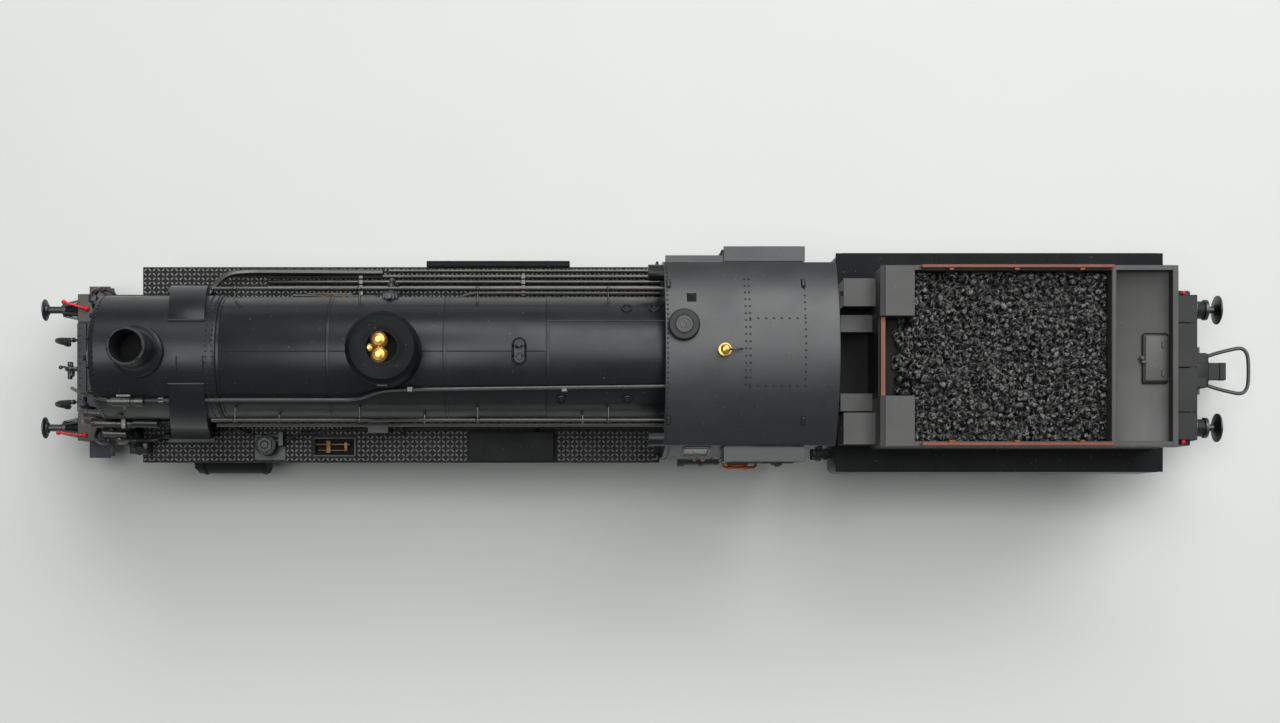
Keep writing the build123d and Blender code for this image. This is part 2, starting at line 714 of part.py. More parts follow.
with BuildPart() as smokebox_door:
    rim = smokebox_radius - 1.2
    with BuildSketch(Plane.XY.offset(boiler_z)):
        Polygon((smokebox_front, 0), (smokebox_front, rim), (smokebox_front - 0.6, rim),
                (smokebox_front - 2.2, rim / 2), (smokebox_front - 2.2, 0), align=None)
    revolve(axis=Axis((0, 0, boiler_z), (1, 0, 0)))
    length_rod(smokebox_front - 3.6, smokebox_front - 2, 0, boiler_z, 0.8)
    for z in (boiler_z - 3, boiler_z + 3):
        box(smokebox_front - 1.9, smokebox_front - 0.4, 0, rim, z - 0.4, z + 0.4)
write(smokebox_door, "smokebox_door")


def turned(x, y, profile):
    """A piece turned about a vertical axis at x, y. profile lists (radius, z) from bottom to top."""
    plane = Plane(origin=(x, y, 0), x_dir=(1, 0, 0), z_dir=(0, -1, 0))
    with BuildSketch(plane) as half_section:
        Polygon(*profile, align=None)
    revolve(half_section.sketch, axis=Axis((x, y, 0), (0, 0, 1)))


with BuildPart() as chimney:
    base = boiler_z + smokebox_radius
    turned(chimney_x, 0, [(0, base - 1.2), (4.0, base - 1.2), (4.0, base + 0.3), (chimney_radius, base + 1.8),
                          (chimney_radius, chimney_top), (0, chimney_top)])
    length_rod(smokebox_front, smokebox_rear, 0, boiler_z, smokebox_radius, mode=Mode.SUBTRACT)
    upright_rod(chimney_x, 0, base - 2, chimney_top, flue_radius, mode=Mode.SUBTRACT)
write(chimney, "chimney")

with BuildPart() as steam_dome:
    base = boiler_z + boiler_radius
    turned(dome_x, 0, [(0, base - 2.2), (dome_radius, base - 2.2), (dome_radius, dome_top - 0.8),
                       (dome_radius - 0.7, dome_top), (0, dome_top)])
    length_rod(smokebox_rear, cab_front, 0, boiler_z, boiler_radius, mode=Mode.SUBTRACT)
    upright_rod(dome_x, 0, dome_top - dome_mouth_depth, dome_top, dome_mouth_radius, mode=Mode.SUBTRACT)
write(steam_dome, "steam_dome")

brass_builders = []
valve_seat = dome_top - dome_mouth_depth
for x, y, radius in ((dome_x + 1.05, 1.1, 1.0), (dome_x + 1.05, -1.1, 1.0), (dome_x - 1.3, 0, 0.55)):
    with BuildPart() as valve:
        upright_rod(x, y, valve_seat, valve_seat + 2.6, radius)
    brass_builders.append(valve)
with BuildPart() as whistle:
    roof_top = eaves_z + roof_rise + roof_thickness
    upright_rod(whistle_x, 0, roof_top, roof_top + 2.8, 0.7)
brass_builders.append(whistle)
write_group(brass_builders, "valves_and_whistle")

casing_builders = []
for side in (1, -1):
    with BuildPart() as casing:
        with BuildSketch(cross_plane(casing_front)):
            with BuildLine():
                start = (side * 4.6, boiler_z + sqrt(smokebox_radius**2 - 4.6**2))
                shoulder = (side * 11.4, boiler_z + 0.6)
                foot = (side * 12.4, board_top)
                ThreePointArc(start, (side * 9.1, boiler_z + 5.8), shoulder)
                Polyline(shoulder, foot, (side * 7.5, board_top), (side * 2, boiler_z), start)
            make_face()
            with Locations((0, boiler_z)):
                Circle(smokebox_radius, mode=Mode.SUBTRACT)
        extrude(amount=casing_length)
    casing_builders.append(casing)
write_group(casing_builders, "steam_pipe_casings")

# ---------------------------------------------------------------- running boards and front end
board_builders = []
for side in (1, -1):
    near, far = sorted((side * board_inner, side * board_half_width))
    with BuildPart() as board:
        box(board_front, cab_front, near, far, frame_top, board_top)
        # sloping plate down to the deck behind the beam
        near, far = sorted((side * board_inner, side * (board_inner + 2.6)))
        with BuildSketch(side_plane(far)):
            Polygon(
                (board_front, frame_top),
                (board_front, board_top),
                (board_front - 5.5, deck_z + board_thickness),
                (board_front - 5.5, deck_z),
                align=None,
            )
        extrude(amount=far - near)
        # valance below the edge
        edge = sorted((side * board_half_width, side * (board_half_width - 0.5)))
        box(board_front, cab_front, *edge, board_top - 1.6, board_top - board_thickness)
    board_builders.append(board)
with BuildPart() as toolbox:
    box(*toolbox_x, -board_half_width + 0.2, -toolbox_inner, board_top, board_top + toolbox_height)
board_builders.append(toolbox)
with BuildPart() as edge_box:
    box(*edge_box_x, board_half_width, board_half_width + edge_box_reach, board_top - 1.6, board_top + 0.6)
board_builders.append(edge_box)
write_group(board_builders, "running_boards")

with BuildPart() as front_beam:
    back = beam_front + beam_thickness
    box(beam_front, back, -beam_half_width, beam_half_width, deck_z - beam_height, deck_z)
    box(back, board_front, -beam_half_width, beam_half_width, deck_z - deck_thickness, deck_z)
    box(smokebox_front, board_front, -frame_half_width, frame_half_width, deck_z - deck_thickness, deck_z,
        mode=Mode.SUBTRACT)
    for side in (1, -1):
        length_rod(beam_front - 3.2, beam_front, side * buffer_y, buffer_z, 1.25)
        length_rod(beam_front - 3.2, back, side * buffer_y, buffer_z, buffer_stem_radius + running_fit,
                   mode=Mode.SUBTRACT)
        near, far = sorted((side * (beam_half_width - 1.2), side * beam_half_width))
        box(back, back + 0.6, near, far, rail_top + 6, deck_z - deck_thickness)
        near, far = sorted((side * (beam_half_width - 1.2), side * 14.6))
        box(back, back + 2.6, near, far, rail_top + 6, rail_top + 6.6)
write(front_beam, "front_beam")


def buffer(face_x, beam_x, y, head_radius, name):
    """Buffer head and its stem. The head faces away from the beam; the stem slides in the socket."""
    outward = 1 if face_x > beam_x else -1
    back = face_x - outward * 0.6
    with BuildPart() as head:
        length_rod(*sorted((face_x, back)), y, buffer_z, head_radius)
        length_rod(*sorted((back, beam_x - outward * 0.6)), y, buffer_z, buffer_stem_radius)
    write(head, name)


for side, hand in ((1, "right"), (-1, "left")):
    buffer(beam_front - front_buffer_reach, beam_front, side * buffer_y, front_buffer_radius, f"front_buffer_{hand}")
    buffer(tender_beam_rear + rear_buffer_reach, tender_beam_rear, side * buffer_y, rear_buffer_radius,
           f"rear_buffer_{hand}")

with BuildPart() as front_coupling:
    box(beam_front - 2.6, beam_front, -0.4, 0.4, buffer_z - 0.7, buffer_z + 0.7)
    box(beam_front - 3.2, beam_front - 2.4, -1.4, 1.4, buffer_z - 4.2, buffer_z - 0.2)
    for y in (-5.6, 5.2):
        length_rod(beam_front - 1.6, beam_front, y, buffer_z + 1.6, 0.5)
        upright_rod(beam_front - 1.6, y, rail_top + 6, buffer_z + 1.6, 0.5)
write(front_coupling, "front_coupling")

with BuildPart() as air_pump:
    upright_rod(*air_pump_place, deck_z, deck_z + 5, 2.1)
    upright_rod(*air_pump_place, deck_z + 5, deck_z + 7, 1.0)
    upright_rod(*air_pump_place, deck_z + 7, deck_z + 12, 1.9)
with BuildPart() as lubricator:
    upright_rod(*lubricator_place, board_top, board_top + 3.4, 1.6)
    with BuildSketch(flat_plane(board_top + 3.4)):
        with Locations(lubricator_place):
            RegularPolygon(1.3, 6)
    extrude(amount=0.6)
write_group([air_pump, lubricator], "pumps")

rail_builders = []
for side in (1, -1):
    seat = sqrt(boiler_radius**2 - (rail_z - rail_radius - boiler_z) ** 2)
    with BuildPart() as rail:
        length_rod(casing_front + casing_length + 0.4, cab_front, side * rail_y, rail_z, rail_radius)
        for x in rail_posts:
            side_rod(x, rail_z, *sorted((side * seat, side * rail_y)), rail_radius)
    rail_builders.append(rail)
write_group(rail_builders, "handrails")

with BuildPart() as board_pipes:
    for y in board_pipe_rows:
        length_rod(smokebox_rear + 4.8, cab_front, y, board_top + 0.9, board_pipe_radius)
    for x in pipe_bracket_x:
        box(x - 0.5, x + 0.5, board_pipe_rows[-1] - 0.6, board_pipe_rows[0] + 0.6, board_top, board_top + 1.1)
with BuildPart() as ejector_rod:
    rod_z = boiler_z + sqrt((boiler_radius + ejector_rod_gap) ** 2 - ejector_rod_y**2)
    length_rod(smokebox_rear + 1, cab_front, ejector_rod_y, rod_z, board_pipe_radius)
write_group([board_pipes, ejector_rod], "pipework")

# ---------------------------------------------------------------- cab
side_top = eaves_z
side_knee = rail_top + 28.5
with BuildPart() as cab_body:
    with BuildSketch(cross_plane(cab_front)):
        with BuildLine():
            Polyline((-cab_half_width, frame_top), (cab_half_width, frame_top), (cab_half_width, side_knee),
                     (roof_half_width, side_top))
            ThreePointArc((roof_half_width, side_top), (0, side_top + roof_rise), (-roof_half_width, side_top))
            Polyline((-roof_half_width, side_top), (-cab_half_width, side_knee), (-cab_half_width, frame_top))
        make_face()
    extrude(amount=cab_side_rear - cab_front)
    for side in (1, -1):
        near, far = sorted((side * (cab_half_width - 2), side * (cab_half_width + bay_depth)))
        box(bay_front, bay_rear, near, far, side_top - bay_height, side_top)
    with BuildSketch(cross_plane(cab_front + cab_wall)):
        with BuildLine():
            wall = cab_wall
            Polyline((-cab_half_width + wall, board_top), (cab_half_width - wall, board_top),
                     (cab_half_width - wall, side_knee), (roof_half_width - wall, side_top))
            ThreePointArc((roof_half_width - wall, side_top), (0, side_top + roof_rise - wall),
                          (-roof_half_width + wall, side_top))
            Polyline((-roof_half_width + wall, side_top), (-cab_half_width + wall, side_knee),
                     (-cab_half_width + wall, board_top))
        make_face()
    extrude(amount=cab_side_rear - cab_front - cab_wall, mode=Mode.SUBTRACT)
    # bays hollow to the inside, with two windows in each
    inner = cab_half_width + bay_depth - cab_wall
    box(bay_front + wall, bay_rear - wall, -inner, inner, side_top - bay_height + wall, side_top - wall,
        mode=Mode.SUBTRACT)
    outer = cab_half_width + bay_depth
    middle = (bay_front + bay_rear) / 2
    for x0, x1 in ((bay_front + 1.2, middle - 0.5), (middle + 0.5, bay_rear - 1.2)):
        box(x0, x1, -outer, outer, side_top - 5.6, side_top - 1.4, mode=Mode.SUBTRACT)
    # front: the boiler's opening and two windows beside it
    length_rod(cab_front, cab_front + wall, 0, boiler_z, boiler_radius - boiler_wall, mode=Mode.SUBTRACT)
    for y in (12.2, -12.2):
        box(cab_front, cab_front + wall, y - 1.2, y + 1.2, boiler_z - 1.5, boiler_z + 3.5, mode=Mode.SUBTRACT)
    # the motor passes through the front wall and the floor
    motor_way = motor_half + 0.4
    box(cab_front, motor_rear + 0.4, -motor_way, motor_way, frame_top, worm_z + motor_half + 3,
        mode=Mode.SUBTRACT)
    for side in (1, -1):
        # hood over the front window
        length_rod(cab_front - hood_reach, cab_front, side * hood_y, eaves_z - hood_radius - 0.5, hood_radius)
        # two steps on a hanging plate
        near, far = sorted((side * step_y[0], side * (step_y[0] + 0.5)))
        box(*cab_step_x, near, far, step_heights[0], frame_top)
        near, far = sorted(side * y for y in step_y)
        for z in step_heights:
            box(*cab_step_x, near, far, z, z + step_thickness)
write(cab_body, "cab_body")

with BuildPart() as cab_roof:
    with BuildSketch(cross_plane(cab_front - 0.3)):
        with BuildLine():
            rise = roof_rise + roof_thickness
            ThreePointArc((-roof_half_width, side_top), (0, side_top + roof_rise), (roof_half_width, side_top))
            Line((roof_half_width, side_top), (roof_half_width, side_top + roof_thickness))
            ThreePointArc((roof_half_width, side_top + roof_thickness), (0, side_top + rise),
                          (-roof_half_width, side_top + roof_thickness))
            Line((-roof_half_width, side_top + roof_thickness), (-roof_half_width, side_top))
        make_face()
    extrude(amount=roof_rear - cab_front + 0.3)
    upright_rod(*ventilator_place, side_top + roof_rise, side_top + roof_rise + 1.5, ventilator_radius)
write(cab_roof, "cab_roof")

window_builders = []
for side in (1, -1):
    near, far = sorted((side * (inner - 0.3), side * inner))
    with BuildPart() as pane:
        box(bay_front + wall, bay_rear - wall, near, far, side_top - 5.9, side_top - 1.1)
    window_builders.append(pane)
write_group(window_builders, "cab_windows")

with BuildPart() as backhead:
    plate = cab_front + cab_wall
    box(motor_rear + 0.5, motor_rear + 1.3, -7, 7, board_top, boiler_z + 5)
    box(motor_rear + 1.3, motor_rear + 2.0, -2.2, 2.2, boiler_z - 7, boiler_z - 3)
    box(plate, motor_rear + 0.5, -7, -6.5, board_top, boiler_z + 5)
    box(plate, motor_rear + 0.5, 6.5, 7, board_top, boiler_z + 5)
    box(plate, motor_rear + 1.3, -7, 7, boiler_z + 5, boiler_z + 5.6)
write(backhead, "backhead")

# ---------------------------------------------------------------- tender
base_bottom = tank_bottom - 0.8
with BuildPart() as tender_frame:
    box(tank_front + 1.4, tender_beam_rear - beam_thickness, -side_frame_y[1], side_frame_y[1], base_bottom,
        tank_bottom)
    for side in (1, -1):
        near, far = sorted(side * y for y in side_frame_y)
        with BuildSketch(side_plane(far)):
            with Locations(((tank_front + 1.4 + tender_beam_rear) / 2, (base_bottom + side_frame_bottom + 3) / 2)):
                Rectangle(tender_beam_rear - tank_front - 1.4 - beam_thickness, base_bottom - side_frame_bottom - 3)
            for x in tender_axles:
                with Locations((x, (base_bottom + side_frame_bottom) / 2)):
                    Rectangle(3.4, base_bottom - side_frame_bottom)
                round_section(x, tender_z, small_axle_radius + running_fit, hole=True, mode=Mode.SUBTRACT)
            for front, rear in zip(tender_axles, tender_axles[1:]):
                with Locations(((front + rear) / 2, base_bottom - 2.6)):
                    Rectangle(11, 2.4, mode=Mode.SUBTRACT)
        extrude(amount=far - near)
    box(tender_beam_rear - beam_thickness, tender_beam_rear, -beam_half_width, beam_half_width,
        deck_z - beam_height, deck_z)
    for side in (1, -1):
        length_rod(tender_beam_rear, tender_beam_rear + 2.6, side * buffer_y, buffer_z, 1.5)
        length_rod(tender_beam_rear - beam_thickness, tender_beam_rear + 2.6, side * buffer_y, buffer_z,
                   buffer_stem_radius + running_fit, mode=Mode.SUBTRACT)
        # steps in front of the first wheel
        near, far = sorted(side * y for y in step_y)
        for z in step_heights:
            box(*tender_step_x, near, far, z, z + step_thickness)
        near, far = sorted((side * step_y[0], side * (step_y[0] - 0.5)))
        box(*tender_step_x, near, far, step_heights[0], base_bottom)
    # centre block with the drawbar's pin in front and the coupler pocket behind
    box(tank_front + 1.4, tender_axles[0] - 2.5, -4, 4, drawbar_z + slot_half_height, base_bottom)
    upright_rod(drawbar_rear_x, 0, drawbar_z - slot_half_height, drawbar_z + slot_half_height, pivot_pin_radius)
    box(coupler_pivot_x - 1.6, tender_beam_rear - beam_thickness, -3, 3, coupler_z + 0.9, base_bottom)
    upright_rod(coupler_pivot_x, 0, coupler_z - 0.9, coupler_z + 0.9, pivot_pin_radius)
write(tender_frame, "tender_frame")

with BuildPart() as tender_tank:
    box(tank_front, tank_rear, -tank_half_width, tank_half_width, tank_bottom, tank_top)
    edges = tender_tank.part.edges().filter_by(Axis.Z)
    fillet(edges, radius=1.2)
write(tender_tank, "tender_tank")

with BuildPart() as tender_bunker:
    box(bunker_front, bunker_rear, -bunker_half_width, bunker_half_width, tank_top, bunker_top)
    edges = tender_bunker.part.edges().filter_by(Axis.Z)
    fillet(edges, radius=1.0)
    wall = bunker_wall
    inside = bunker_half_width - wall
    # coal space behind the lockers, and the gap between the lockers in front
    box(locker_rear, coal_rear, -inside, inside, tank_top, bunker_top, mode=Mode.SUBTRACT)
    box(bunker_front, locker_rear, -locker_inner, locker_inner, tank_top, bunker_top, mode=Mode.SUBTRACT)
    box(coal_rear + wall, bunker_rear - wall, -inside, inside, rear_deck_z, bunker_top, mode=Mode.SUBTRACT)
write(tender_bunker, "tender_bunker")

with BuildPart() as coal:
    inside = bunker_half_width - bunker_wall
    box(locker_rear, coal_rear, -inside, inside, tank_top, bunker_top - 2)
    for k, (x, y) in enumerate(((46, 5), (52, -5), (58, 4), (64, -3), (65.5, 6))):
        with BuildSketch(flat_plane(bunker_top - 2)):
            with Locations((x, y)):
                RegularPolygon(5.2, 6, rotation=20 * k)
        extrude(amount=2.6, taper=45)
write(coal, "coal")

rail_builders = []
for side in (1, -1):
    with BuildPart() as plank:
        length = sorted((side * (bunker_half_width - 0.6), side * bunker_half_width))
        box(locker_rear + 1, coal_rear, *length, bunker_top, bunker_top + 1.0)
    rail_builders.append(plank)
with BuildPart() as plank:
    box(bunker_front, bunker_front + 0.6, -locker_inner, locker_inner, tank_top, bunker_top - 1.0)
rail_builders.append(plank)
write_group(rail_builders, "bunker_planks")

with BuildPart() as tank_hatch:
    box(74.5, 79.0, -4.2, 4.2, rear_deck_z, rear_deck_z + 1.0)
write(tank_hatch, "tank_hatch")

# ---------------------------------------------------------------- drawbar and coupler
with BuildPart() as drawbar:
    length = drawbar_rear_x - drawbar_front_x
    with BuildSketch(flat_plane(drawbar_z - drawbar_thickness / 2)):
        with Locations(((drawbar_front_x + drawbar_rear_x) / 2, 0)):
            Rectangle(length + 3.6, 3.2)
        for x in (drawbar_front_x, drawbar_rear_x):
            round_section(x, 0, pivot_pin_radius + running_fit, hole=True, mode=Mode.SUBTRACT)
    extrude(amount=drawbar_thickness)
write(drawbar, "drawbar")

with BuildPart() as coupler:
    with BuildSketch(flat_plane(coupler_z - 0.6)):
        round_section(coupler_pivot_x, 0, 1.6)
        with Locations(((coupler_pivot_x + loop_pivot_x) / 2, 0)):
            Rectangle(loop_pivot_x - coupler_pivot_x - 1.6, 2.6)
        round_section(coupler_pivot_x, 0, pivot_pin_radius + running_fit, hole=True, mode=Mode.SUBTRACT)
    extrude(amount=1.2)
    box(loop_pivot_x - 1.6, loop_pivot_x + 1.4, -2.9, 2.9, coupler_z - 1.2, coupler_z + 1.2)
write(coupler, "coupler")

with BuildPart() as coupler_loop:
    with BuildSketch(flat_plane(coupler_z - 0.3)):
        with Locations(((loop_pivot_x - 0.6 + loop_rear) / 2, 0)):
            RectangleRounded(loop_rear - loop_pivot_x + 0.6, 8.8, 1.6)
        with Locations(((loop_pivot_x - 3 + loop_rear - 0.7) / 2, 0)):
            Rectangle(loop_rear - loop_pivot_x + 2.3, 6.4, mode=Mode.SUBTRACT)
    extrude(amount=0.6)
write(coupler_loop, "coupler_loop")
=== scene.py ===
# %% [markdown]
# # A model steam locomotive and its tender
# This lesson dresses a finished CAD model of a small railway locomotive. The CAD gives every part its
# place and its joints. Here each part gets its paint, its rivets, its pipes and the other work that
# makes a model railway engine worth looking at. The cells run in order, from top to bottom.

# %% Load the frame
import math
import random

import bmesh
import bpy
from mathutils import Euler, Matrix, Vector


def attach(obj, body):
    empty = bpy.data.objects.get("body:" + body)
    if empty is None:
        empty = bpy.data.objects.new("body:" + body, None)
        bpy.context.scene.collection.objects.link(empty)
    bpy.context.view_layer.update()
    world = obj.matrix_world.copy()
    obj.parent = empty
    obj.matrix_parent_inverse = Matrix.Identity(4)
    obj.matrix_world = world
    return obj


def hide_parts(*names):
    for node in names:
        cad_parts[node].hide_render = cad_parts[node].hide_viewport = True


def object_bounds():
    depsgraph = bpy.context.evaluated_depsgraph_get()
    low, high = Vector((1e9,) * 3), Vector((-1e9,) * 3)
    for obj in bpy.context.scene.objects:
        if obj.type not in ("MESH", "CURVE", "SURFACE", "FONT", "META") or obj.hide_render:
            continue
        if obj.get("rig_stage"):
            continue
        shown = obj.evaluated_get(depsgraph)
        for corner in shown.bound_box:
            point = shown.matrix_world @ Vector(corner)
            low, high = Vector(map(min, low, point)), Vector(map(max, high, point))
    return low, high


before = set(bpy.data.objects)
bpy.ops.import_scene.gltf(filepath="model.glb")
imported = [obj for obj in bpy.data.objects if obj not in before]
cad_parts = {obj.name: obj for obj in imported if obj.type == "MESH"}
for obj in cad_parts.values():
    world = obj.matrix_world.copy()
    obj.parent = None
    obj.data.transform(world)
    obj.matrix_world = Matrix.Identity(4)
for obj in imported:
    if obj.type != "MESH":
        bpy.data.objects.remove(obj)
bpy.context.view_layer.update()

# %% [markdown]
# ## Working in millimetres
# Blender counts in metres, and this engine is 207 mm long, so every size below is written in millimetres
# and scaled once. The engine faces -X, its right-hand side is +Y and the flanges of its wheels stand
# on z = 0. The few heights and centres that many pieces share come first.

# %% Shared places
mm = 0.001
boiler_z = 31.9
boiler_radius = 9.6
smokebox_radius = 9.75
board_top = 20.4
deck_z = 15.8
driver_z = 9.25
driver_x = {1: -52.1, 2: -33.1, 3: -14.1, 4: 4.9}
tender_x = {1: 40.2, 2: 59.7, 3: 79.2}
buffer_z = 13.1
buffer_y = 10.05
beam_front = -97.1
tender_rear = 92.1
bunker_top = 34.9


def boiler_surface(y, radius=boiler_radius):
    """Height of the top of the boiler at y."""
    return boiler_z + math.sqrt(radius**2 - y**2)


print("boiler top", boiler_surface(0), "mm above the flanges")

# %% [markdown]
# ## Hand tools
# Blender's operators act on whatever is selected, and the CAD nodes arrive selected. So each tool starts
# by selecting nothing. A piece is then added at its size and place, shaped in edit mode, and its place
# is moved into its mesh, so that patterns in its material stay put.

# %% Select nothing, settle a piece, join pieces


def deselect():
    """Leaves edit mode and selects nothing."""
    if bpy.context.mode != "OBJECT":
        bpy.ops.object.mode_set(mode="OBJECT")
    bpy.ops.object.select_all(action="DESELECT")


def pick(obj):
    """Makes obj the only selected and the active object."""
    deselect()
    obj.select_set(True)
    bpy.context.view_layer.objects.active = obj
    return obj


def edit(obj):
    """Opens obj in edit mode with all of it selected."""
    pick(obj)
    bpy.ops.object.mode_set(mode="EDIT")
    bpy.ops.mesh.select_all(action="SELECT")


def settle(obj):
    """Moves the object's place, turn and size into its mesh."""
    pick(obj)
    bpy.ops.object.transform_apply(location=True, rotation=True, scale=True)
    return obj


def join(pieces):
    """Joins several pieces into the first."""
    deselect()
    for piece in pieces:
        piece.select_set(True)
    bpy.context.view_layer.objects.active = pieces[0]
    if len(pieces) > 1:
        bpy.ops.object.join()
    return pieces[0]


# %% [markdown]
# ## Bars, rods and plates
# Nearly everything on an engine is cut from plate or turned from bar, and no real edge is perfectly sharp.
# A plate starts as a cube and a rod as a cone. Both have their edges bevelled straight away, because a
# broken edge catches the light, and that thin bright line is what makes a small model look real.

# %% Plate, rod and ball


def plate(corner, opposite, edge=0.08, segments=1):
    """A bar or sheet between two opposite corners in mm, with its edges broken."""
    low = Vector([min(pair) for pair in zip(corner, opposite)])
    high = Vector([max(pair) for pair in zip(corner, opposite)])
    deselect()
    bpy.ops.mesh.primitive_cube_add(size=1, location=(low + high) / 2 * mm)
    obj = bpy.context.active_object
    obj.scale = (high - low) * mm
    edit(settle(obj))
    bpy.ops.mesh.bevel(offset=edge * mm, segments=segments, affect="EDGES")
    deselect()
    return obj


def rod(start, end, radius, end_radius=None, sides=16, edge=0.06):
    """A round bar between two points in mm. end_radius makes it a taper."""
    start, end = Vector(start) * mm, Vector(end) * mm
    along = end - start
    turn = along.to_track_quat("Z", "Y").to_euler()
    tip = radius if end_radius is None else end_radius
    deselect()
    bpy.ops.mesh.primitive_cone_add(
        vertices=sides, radius1=radius * mm, radius2=tip * mm, depth=along.length,
        location=(start + end) / 2, rotation=turn,
    )
    obj = settle(bpy.context.active_object)
    edit(obj)
    bpy.ops.mesh.select_all(action="DESELECT")
    bpy.ops.mesh.edges_select_sharp(sharpness=math.radians(50))
    bpy.ops.mesh.bevel(offset=min(edge, tip * 0.4) * mm, segments=1, affect="EDGES")
    deselect()
    return obj


def ball(centre, radius, squash=(1, 1, 1), sides=14):
    """A turned knob, flattened by squash."""
    deselect()
    bpy.ops.mesh.primitive_uv_sphere_add(
        segments=sides, ring_count=sides // 2, radius=radius * mm, location=Vector(centre) * mm
    )
    obj = bpy.context.active_object
    obj.scale = squash
    return settle(obj)


def hexagon(start, end, radius):
    """A nut or bolt head: a six-sided bar with broken edges."""
    return rod(start, end, radius, sides=6, edge=0.05)


# %% [markdown]
# ## Turned parts
# Chimneys, domes, buffers and wheels are turned on a lathe. Blender's lathe is the spin operator: half
# of the section is drawn as a line and spun about the axis. The doubled seam is merged, and the
# faces are made to point outwards, because a spun shell can come out inside out.

# %% Spin a profile
AXES = {
    "Z": Matrix.Identity(4),
    "X": Matrix.Rotation(math.radians(90), 4, "Y"),
    "-X": Matrix.Rotation(math.radians(-90), 4, "Y"),
    "Y": Matrix.Rotation(math.radians(-90), 4, "X"),
    "-Y": Matrix.Rotation(math.radians(90), 4, "X"),
}
OUTWARD = {1: "Y", -1: "-Y"}


def turned(origin, profile, axis="Z", steps=48):
    """Spins (radius, height) pairs in mm about an axis through origin. Heights count along the axis."""
    points = [Vector((radius, 0, height)) * mm for radius, height in profile]
    mesh = bpy.data.meshes.new("turned")
    mesh.from_pydata(points, [(k, k + 1) for k in range(len(points) - 1)], [])
    obj = bpy.data.objects.new("turned", mesh)
    bpy.context.scene.collection.objects.link(obj)
    edit(obj)
    bpy.ops.mesh.spin(steps=steps, angle=2 * math.pi, center=(0, 0, 0), axis=(0, 0, 1))
    bpy.ops.mesh.select_all(action="SELECT")
    bpy.ops.mesh.remove_doubles(threshold=1e-6)
    bpy.ops.mesh.normals_make_consistent(inside=False)
    deselect()
    obj.matrix_world = Matrix.Translation(Vector(origin) * mm) @ AXES[axis]
    return settle(obj)


# %% [markdown]
# ## Bent pipes
# A pipe is a curve with thickness. Its corners are rounded first, because a real pipe is bent around
# a former and never folded. The curve is then made a mesh, so that its place can be settled like
# that of any other piece.

# %% Bend a pipe


def rounded(points, bend):
    """The points of a path with each corner replaced by a short arc."""
    points = [Vector(p) for p in points]
    path = [points[0]]
    for before, corner, after in zip(points, points[1:], points[2:]):
        back = min(bend, (before - corner).length * 0.45)
        ahead = min(bend, (after - corner).length * 0.45)
        a = corner + (before - corner).normalized() * back
        b = corner + (after - corner).normalized() * ahead
        for step in range(5):
            t = step / 4
            path.append(a * (1 - t) ** 2 + corner * 2 * t * (1 - t) + b * t**2)
    path.append(points[-1])
    return path


def pipe(points, radius, bend=0.8, resolution=2):
    """A round pipe along points in mm, with capped ends."""
    path = rounded(points, bend)
    curve = bpy.data.curves.new("pipe", "CURVE")
    curve.dimensions = "3D"
    curve.bevel_depth = radius * mm
    curve.bevel_resolution = resolution
    curve.use_fill_caps = True
    spline = curve.splines.new("POLY")
    spline.points.add(len(path) - 1)
    for spot, place in zip(spline.points, path):
        spot.co = (*(place * mm), 1)
    obj = bpy.data.objects.new("pipe", curve)
    bpy.context.scene.collection.objects.link(obj)
    pick(obj)
    bpy.ops.object.convert(target="MESH")
    obj = bpy.context.active_object
    edit(obj)
    bpy.ops.mesh.normals_make_consistent(inside=False)
    deselect()
    return obj


# %% [markdown]
# ## Rivets and other repeats
# An engine has hundreds of rivets, all alike. One is modelled as a low dome with a few dozen faces, and
# its mesh is then stamped at every place, pointing along the surface's normal. One stamped mesh is far
# lighter for Blender than hundreds of objects.

# %% Stamp copies of one mesh


def stamp(source, places, keep_source=False):
    """One mesh of copies of source, each moved by a matrix."""
    vertices, faces = [], []
    base = [v.co.copy() for v in source.data.vertices]
    polygons = [list(p.vertices) for p in source.data.polygons]
    for place in places:
        first = len(vertices)
        vertices.extend(place @ co for co in base)
        faces.extend([first + k for k in polygon] for polygon in polygons)
    mesh = bpy.data.meshes.new("stamped")
    mesh.from_pydata(vertices, [], faces)
    obj = bpy.data.objects.new("stamped", mesh)
    bpy.context.scene.collection.objects.link(obj)
    if not keep_source:
        bpy.data.objects.remove(source)
    return obj


def upright(place, normal=(0, 0, 1)):
    """A matrix that sets a piece modelled at the origin on place (mm), with its Z along normal."""
    turn = Vector(normal).to_track_quat("Z", "Y").to_matrix().to_4x4()
    return Matrix.Translation(Vector(place) * mm) @ turn


def rivets(places, radius=0.17):
    """Snap-head rivets at (place, normal) pairs."""
    deselect()
    bpy.ops.mesh.primitive_uv_sphere_add(segments=8, ring_count=6, radius=radius * mm)
    head = bpy.context.active_object
    edit(head)
    bpy.ops.mesh.bisect(
        plane_co=(0, 0, 0.03 * radius * mm), plane_no=(0, 0, 1), clear_inner=True, use_fill=True,
        threshold=0.001 * radius * mm,
    )
    bpy.ops.mesh.select_all(action="SELECT")
    bpy.ops.transform.resize(value=(1, 1, 0.7))
    deselect()
    return stamp(head, [upright(place, normal) for place, normal in places])


def around(count, radius, start=0.0):
    """Evenly spaced places on a circle about the origin, as pairs, from start degrees."""
    angles = [math.radians(start + 360 / count * k) for k in range(count)]
    return [(radius * math.cos(angle), radius * math.sin(angle)) for angle in angles]


def line_of(start, end, pitch):
    """Evenly spaced places from start to end, about pitch apart."""
    start, end = Vector(start), Vector(end)
    count = max(1, round((end - start).length / pitch))
    return [start.lerp(end, k / count) for k in range(count + 1)]


